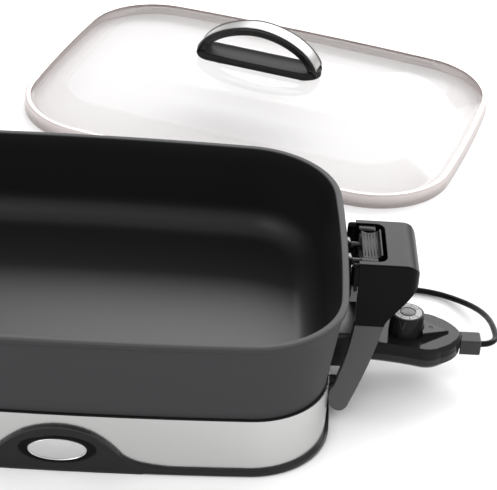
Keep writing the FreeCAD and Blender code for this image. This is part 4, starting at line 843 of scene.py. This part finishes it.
def dial_stroke(name, reach, turn, z, key):
    """A flat stroke on the dial's top between two radii, about a direction in degrees."""
    verts = []
    for off in (-STROKE_HALF, 0.0, STROKE_HALF):
        verts += [dial_point(radius, math.radians(turn + off), z) for radius in reach]
    piece = mesh_piece(name, verts, [(0, 1, 3, 2), (2, 3, 5, 4)], [MAT[key]], sharp=60.0)
    place(piece, "dial", "dial_silver")


def make_dial_face():
    """The dial's silver ring and dark middle, the lines between its numbers, its arrow and its pointer."""
    dial_disc("dial_ring", RING_PROFILE, "dial_silver", False, 30.0, "dial_cap")
    dial_disc("dial_middle", MIDDLE_PROFILE, "dial_grey", True, 60.0)
    for index in range(len(NUMBERS) + 1):
        turn = 90.0 + FIRST_NUMBER - NUMBER_STEP * (index - 0.5)
        dial_stroke(f"dial_line_{index}", LINE_REACH, turn, MARK_Z, "ink")
    for index, turn in enumerate(ARROW_TURNS):
        dial_stroke(f"dial_arrow_{index}", ARROW_REACH, turn, ARROW_Z, "dial_silver")
    verts, faces = [], []
    for side in (-1, 1):
        base = len(verts)
        for depth, *edges in POINTER_LINE:
            radius = DRUM_RADIUS + DRUM_FLARE * depth
            for edge in edges:
                angle = math.radians(POINTER_TURN) + side * edge / radius
                verts.append(dial_point(radius, angle, DIAL_TOP - depth))
        faces.append((base, base + 1, base + 3, base + 2))
    pointer = mesh_piece("dial_pointer", verts, faces, [MAT["ink"]], sharp=60.0)
    place(pointer, "dial", "dial_silver")


# Each ear's near side and foot; the other limits are shared
EARS = {"back": (210.8, 78.0), "front": (211.6, 97.0)}
EAR_FAR = 221.5
EAR_Y = (27.2, 32.9)
EAR_TOP = 116.6
EAR_ROUND = 2.6
PANEL_X = (211.8, 213.4)
PANEL_Y = (-27.0, 27.0)
PANEL_Z = (84.0, 101.5)
PANEL_ROUND = 0.5
LINER_X = (219.0, 231.6)
LINER_Y = (19.6, 27.15)
LINER_Z = (113.0, 116.8)
LINER_ROUND = 0.6


def make_grip_ends():
    """Each grip's ears, the dark panel between it and the pan, and the liners beside its latch button."""
    for side, word in SIDES:
        for way, end in ENDS:
            near, foot = EARS[end]
            ear = box_between(f"grip_ear_{word}_{end}", mirrored(side, (near, EAR_FAR)), mirrored(way, EAR_Y),
                              (foot, EAR_TOP), EAR_ROUND, "gloss_black", 4)
            place(ear, f"handle_{word}", "gloss_black")
            if end == "back":
                panel = box_between(f"inner_panel_{word}", mirrored(side, PANEL_X), PANEL_Y, PANEL_Z,
                                    PANEL_ROUND, "gloss_black")
                place(panel, f"handle_{word}", "gloss_black")
            liner = box_between(f"recess_liner_{word}_{end}", mirrored(side, LINER_X), mirrored(way, LINER_Y),
                                LINER_Z, LINER_ROUND, "button_black")
            place(liner, f"handle_{word}", "charcoal_plastic")


# Each rib's place across the button, and the height of the dish there
RIBS = ((222.6, 115.85), (225.0, 115.42), (227.4, 115.3), (229.8, 115.5), (232.2, 116.15))
RIB_HALF_WIDTH = 0.55
RIB_HALF_LENGTH = 16.5
RIB_SUNK = 0.6
RIB_PROUD = 0.15
RIB_ROUND = 0.25


def make_button_ribs():
    """Fine ribs across the dished top of each latch button."""
    for side, word in SIDES:
        for index, (x, z) in enumerate(RIBS):
            rib = box_between(f"button_rib_{word}_{index}", mirrored(side, around(x, RIB_HALF_WIDTH)),
                              around(0.0, RIB_HALF_LENGTH), (z - RIB_SUNK, z + RIB_PROUD), RIB_ROUND,
                              "button_black")
            place(rib, f"latch_{word}", "gloss_black")


# Stage, light and camera

FLOOR_HALF = 6.0
FLOOR_Z = -0.0002
WORLD_STRENGTH = 1.04
# Name, place, target, size in metres, and power in watts
LAMPS = (
    ("key", (-0.9, -0.9, 1.5), (0.0, 0.0, 0.05), (1.2, 0.9), 8.0),
    ("fill", (1.3, -0.5, 1.1), (0.1, 0.0, 0.05), (0.9, 0.9), 1.2),
    ("side_panel", (1.9, 1.7, 1.2), (0.24, 0.0, 0.1), (1.3, 1.0), 16.0),
    ("back_panel", (0.75, 2.6, 1.75), (0.25, 0.0, 0.1), (2.6, 1.1), 64.0),
)
CAMERA_PLACE = (0.08354, -1.34922, 0.953937)
CAMERA_ANGLES = (0.037, 0.559, 0.075)
CAMERA_LENS = 150.05
CAMERA_SENSOR = 36.0


def lamp(name, spot, target, size, power):
    """A soft rectangular lamp that faces its target."""
    data = bpy.data.lights.new(name, "AREA")
    data.shape = "RECTANGLE"
    data.size, data.size_y = size
    data.energy = power
    piece = link(name, data)
    piece.location = spot
    piece.rotation_euler = (Vector(target) - piece.location).to_track_quat("-Z", "Y").to_euler()


def make_stage():
    """A plain pale floor, an even world and four soft lamps."""
    mesh = bpy.data.meshes.new("floor")
    corners = ((-1, -1), (1, -1), (1, 1), (-1, 1))
    mesh.from_pydata([(x * FLOOR_HALF, y * FLOOR_HALF, FLOOR_Z) for x, y in corners], [], [(0, 1, 2, 3)])
    mesh.materials.append(surface("floor_white", (0.95, 0.95, 0.95), 1.0, edge=0, level=0.0))
    link("floor", mesh)
    world = bpy.data.worlds.new("studio")
    world.use_nodes = True
    back = world.node_tree.nodes["Background"]
    back.inputs["Color"].default_value = (1.0, 1.0, 1.0, 1.0)
    back.inputs["Strength"].default_value = WORLD_STRENGTH
    bpy.context.scene.world = world
    for settings in LAMPS:
        lamp(*settings)


def make_camera():
    """The photograph's point of view, worked out from the rim, the band, the badge and the lid."""
    yaw, pitch, roll = CAMERA_ANGLES
    forward = Vector((math.sin(yaw) * math.cos(pitch), math.cos(yaw) * math.cos(pitch), -math.sin(pitch)))
    right = Vector((math.cos(yaw), -math.sin(yaw), 0.0))
    up = right.cross(forward)
    right_rolled = right * math.cos(roll) + up * math.sin(roll)
    up_rolled = up * math.cos(roll) - right * math.sin(roll)
    data = bpy.data.cameras.new("camera")
    data.sensor_width = CAMERA_SENSOR
    data.lens = CAMERA_LENS
    camera = link("camera", data)
    axes = Matrix((right_rolled, up_rolled, -forward)).transposed().to_4x4()
    camera.matrix_world = Matrix.Translation(CAMERA_PLACE) @ axes
    bpy.context.scene.camera = camera


bpy.context.scene.view_settings.view_transform = "Standard"
make_camera()
make_stage()
dress_nodes()
make_cord()
make_pan()
make_front()
make_badge()
make_lid()
make_lid_handle()
make_dial_marks()
make_button_ribs()
make_grip_ends()
make_dial_face()
bpy.context.view_layer.update()
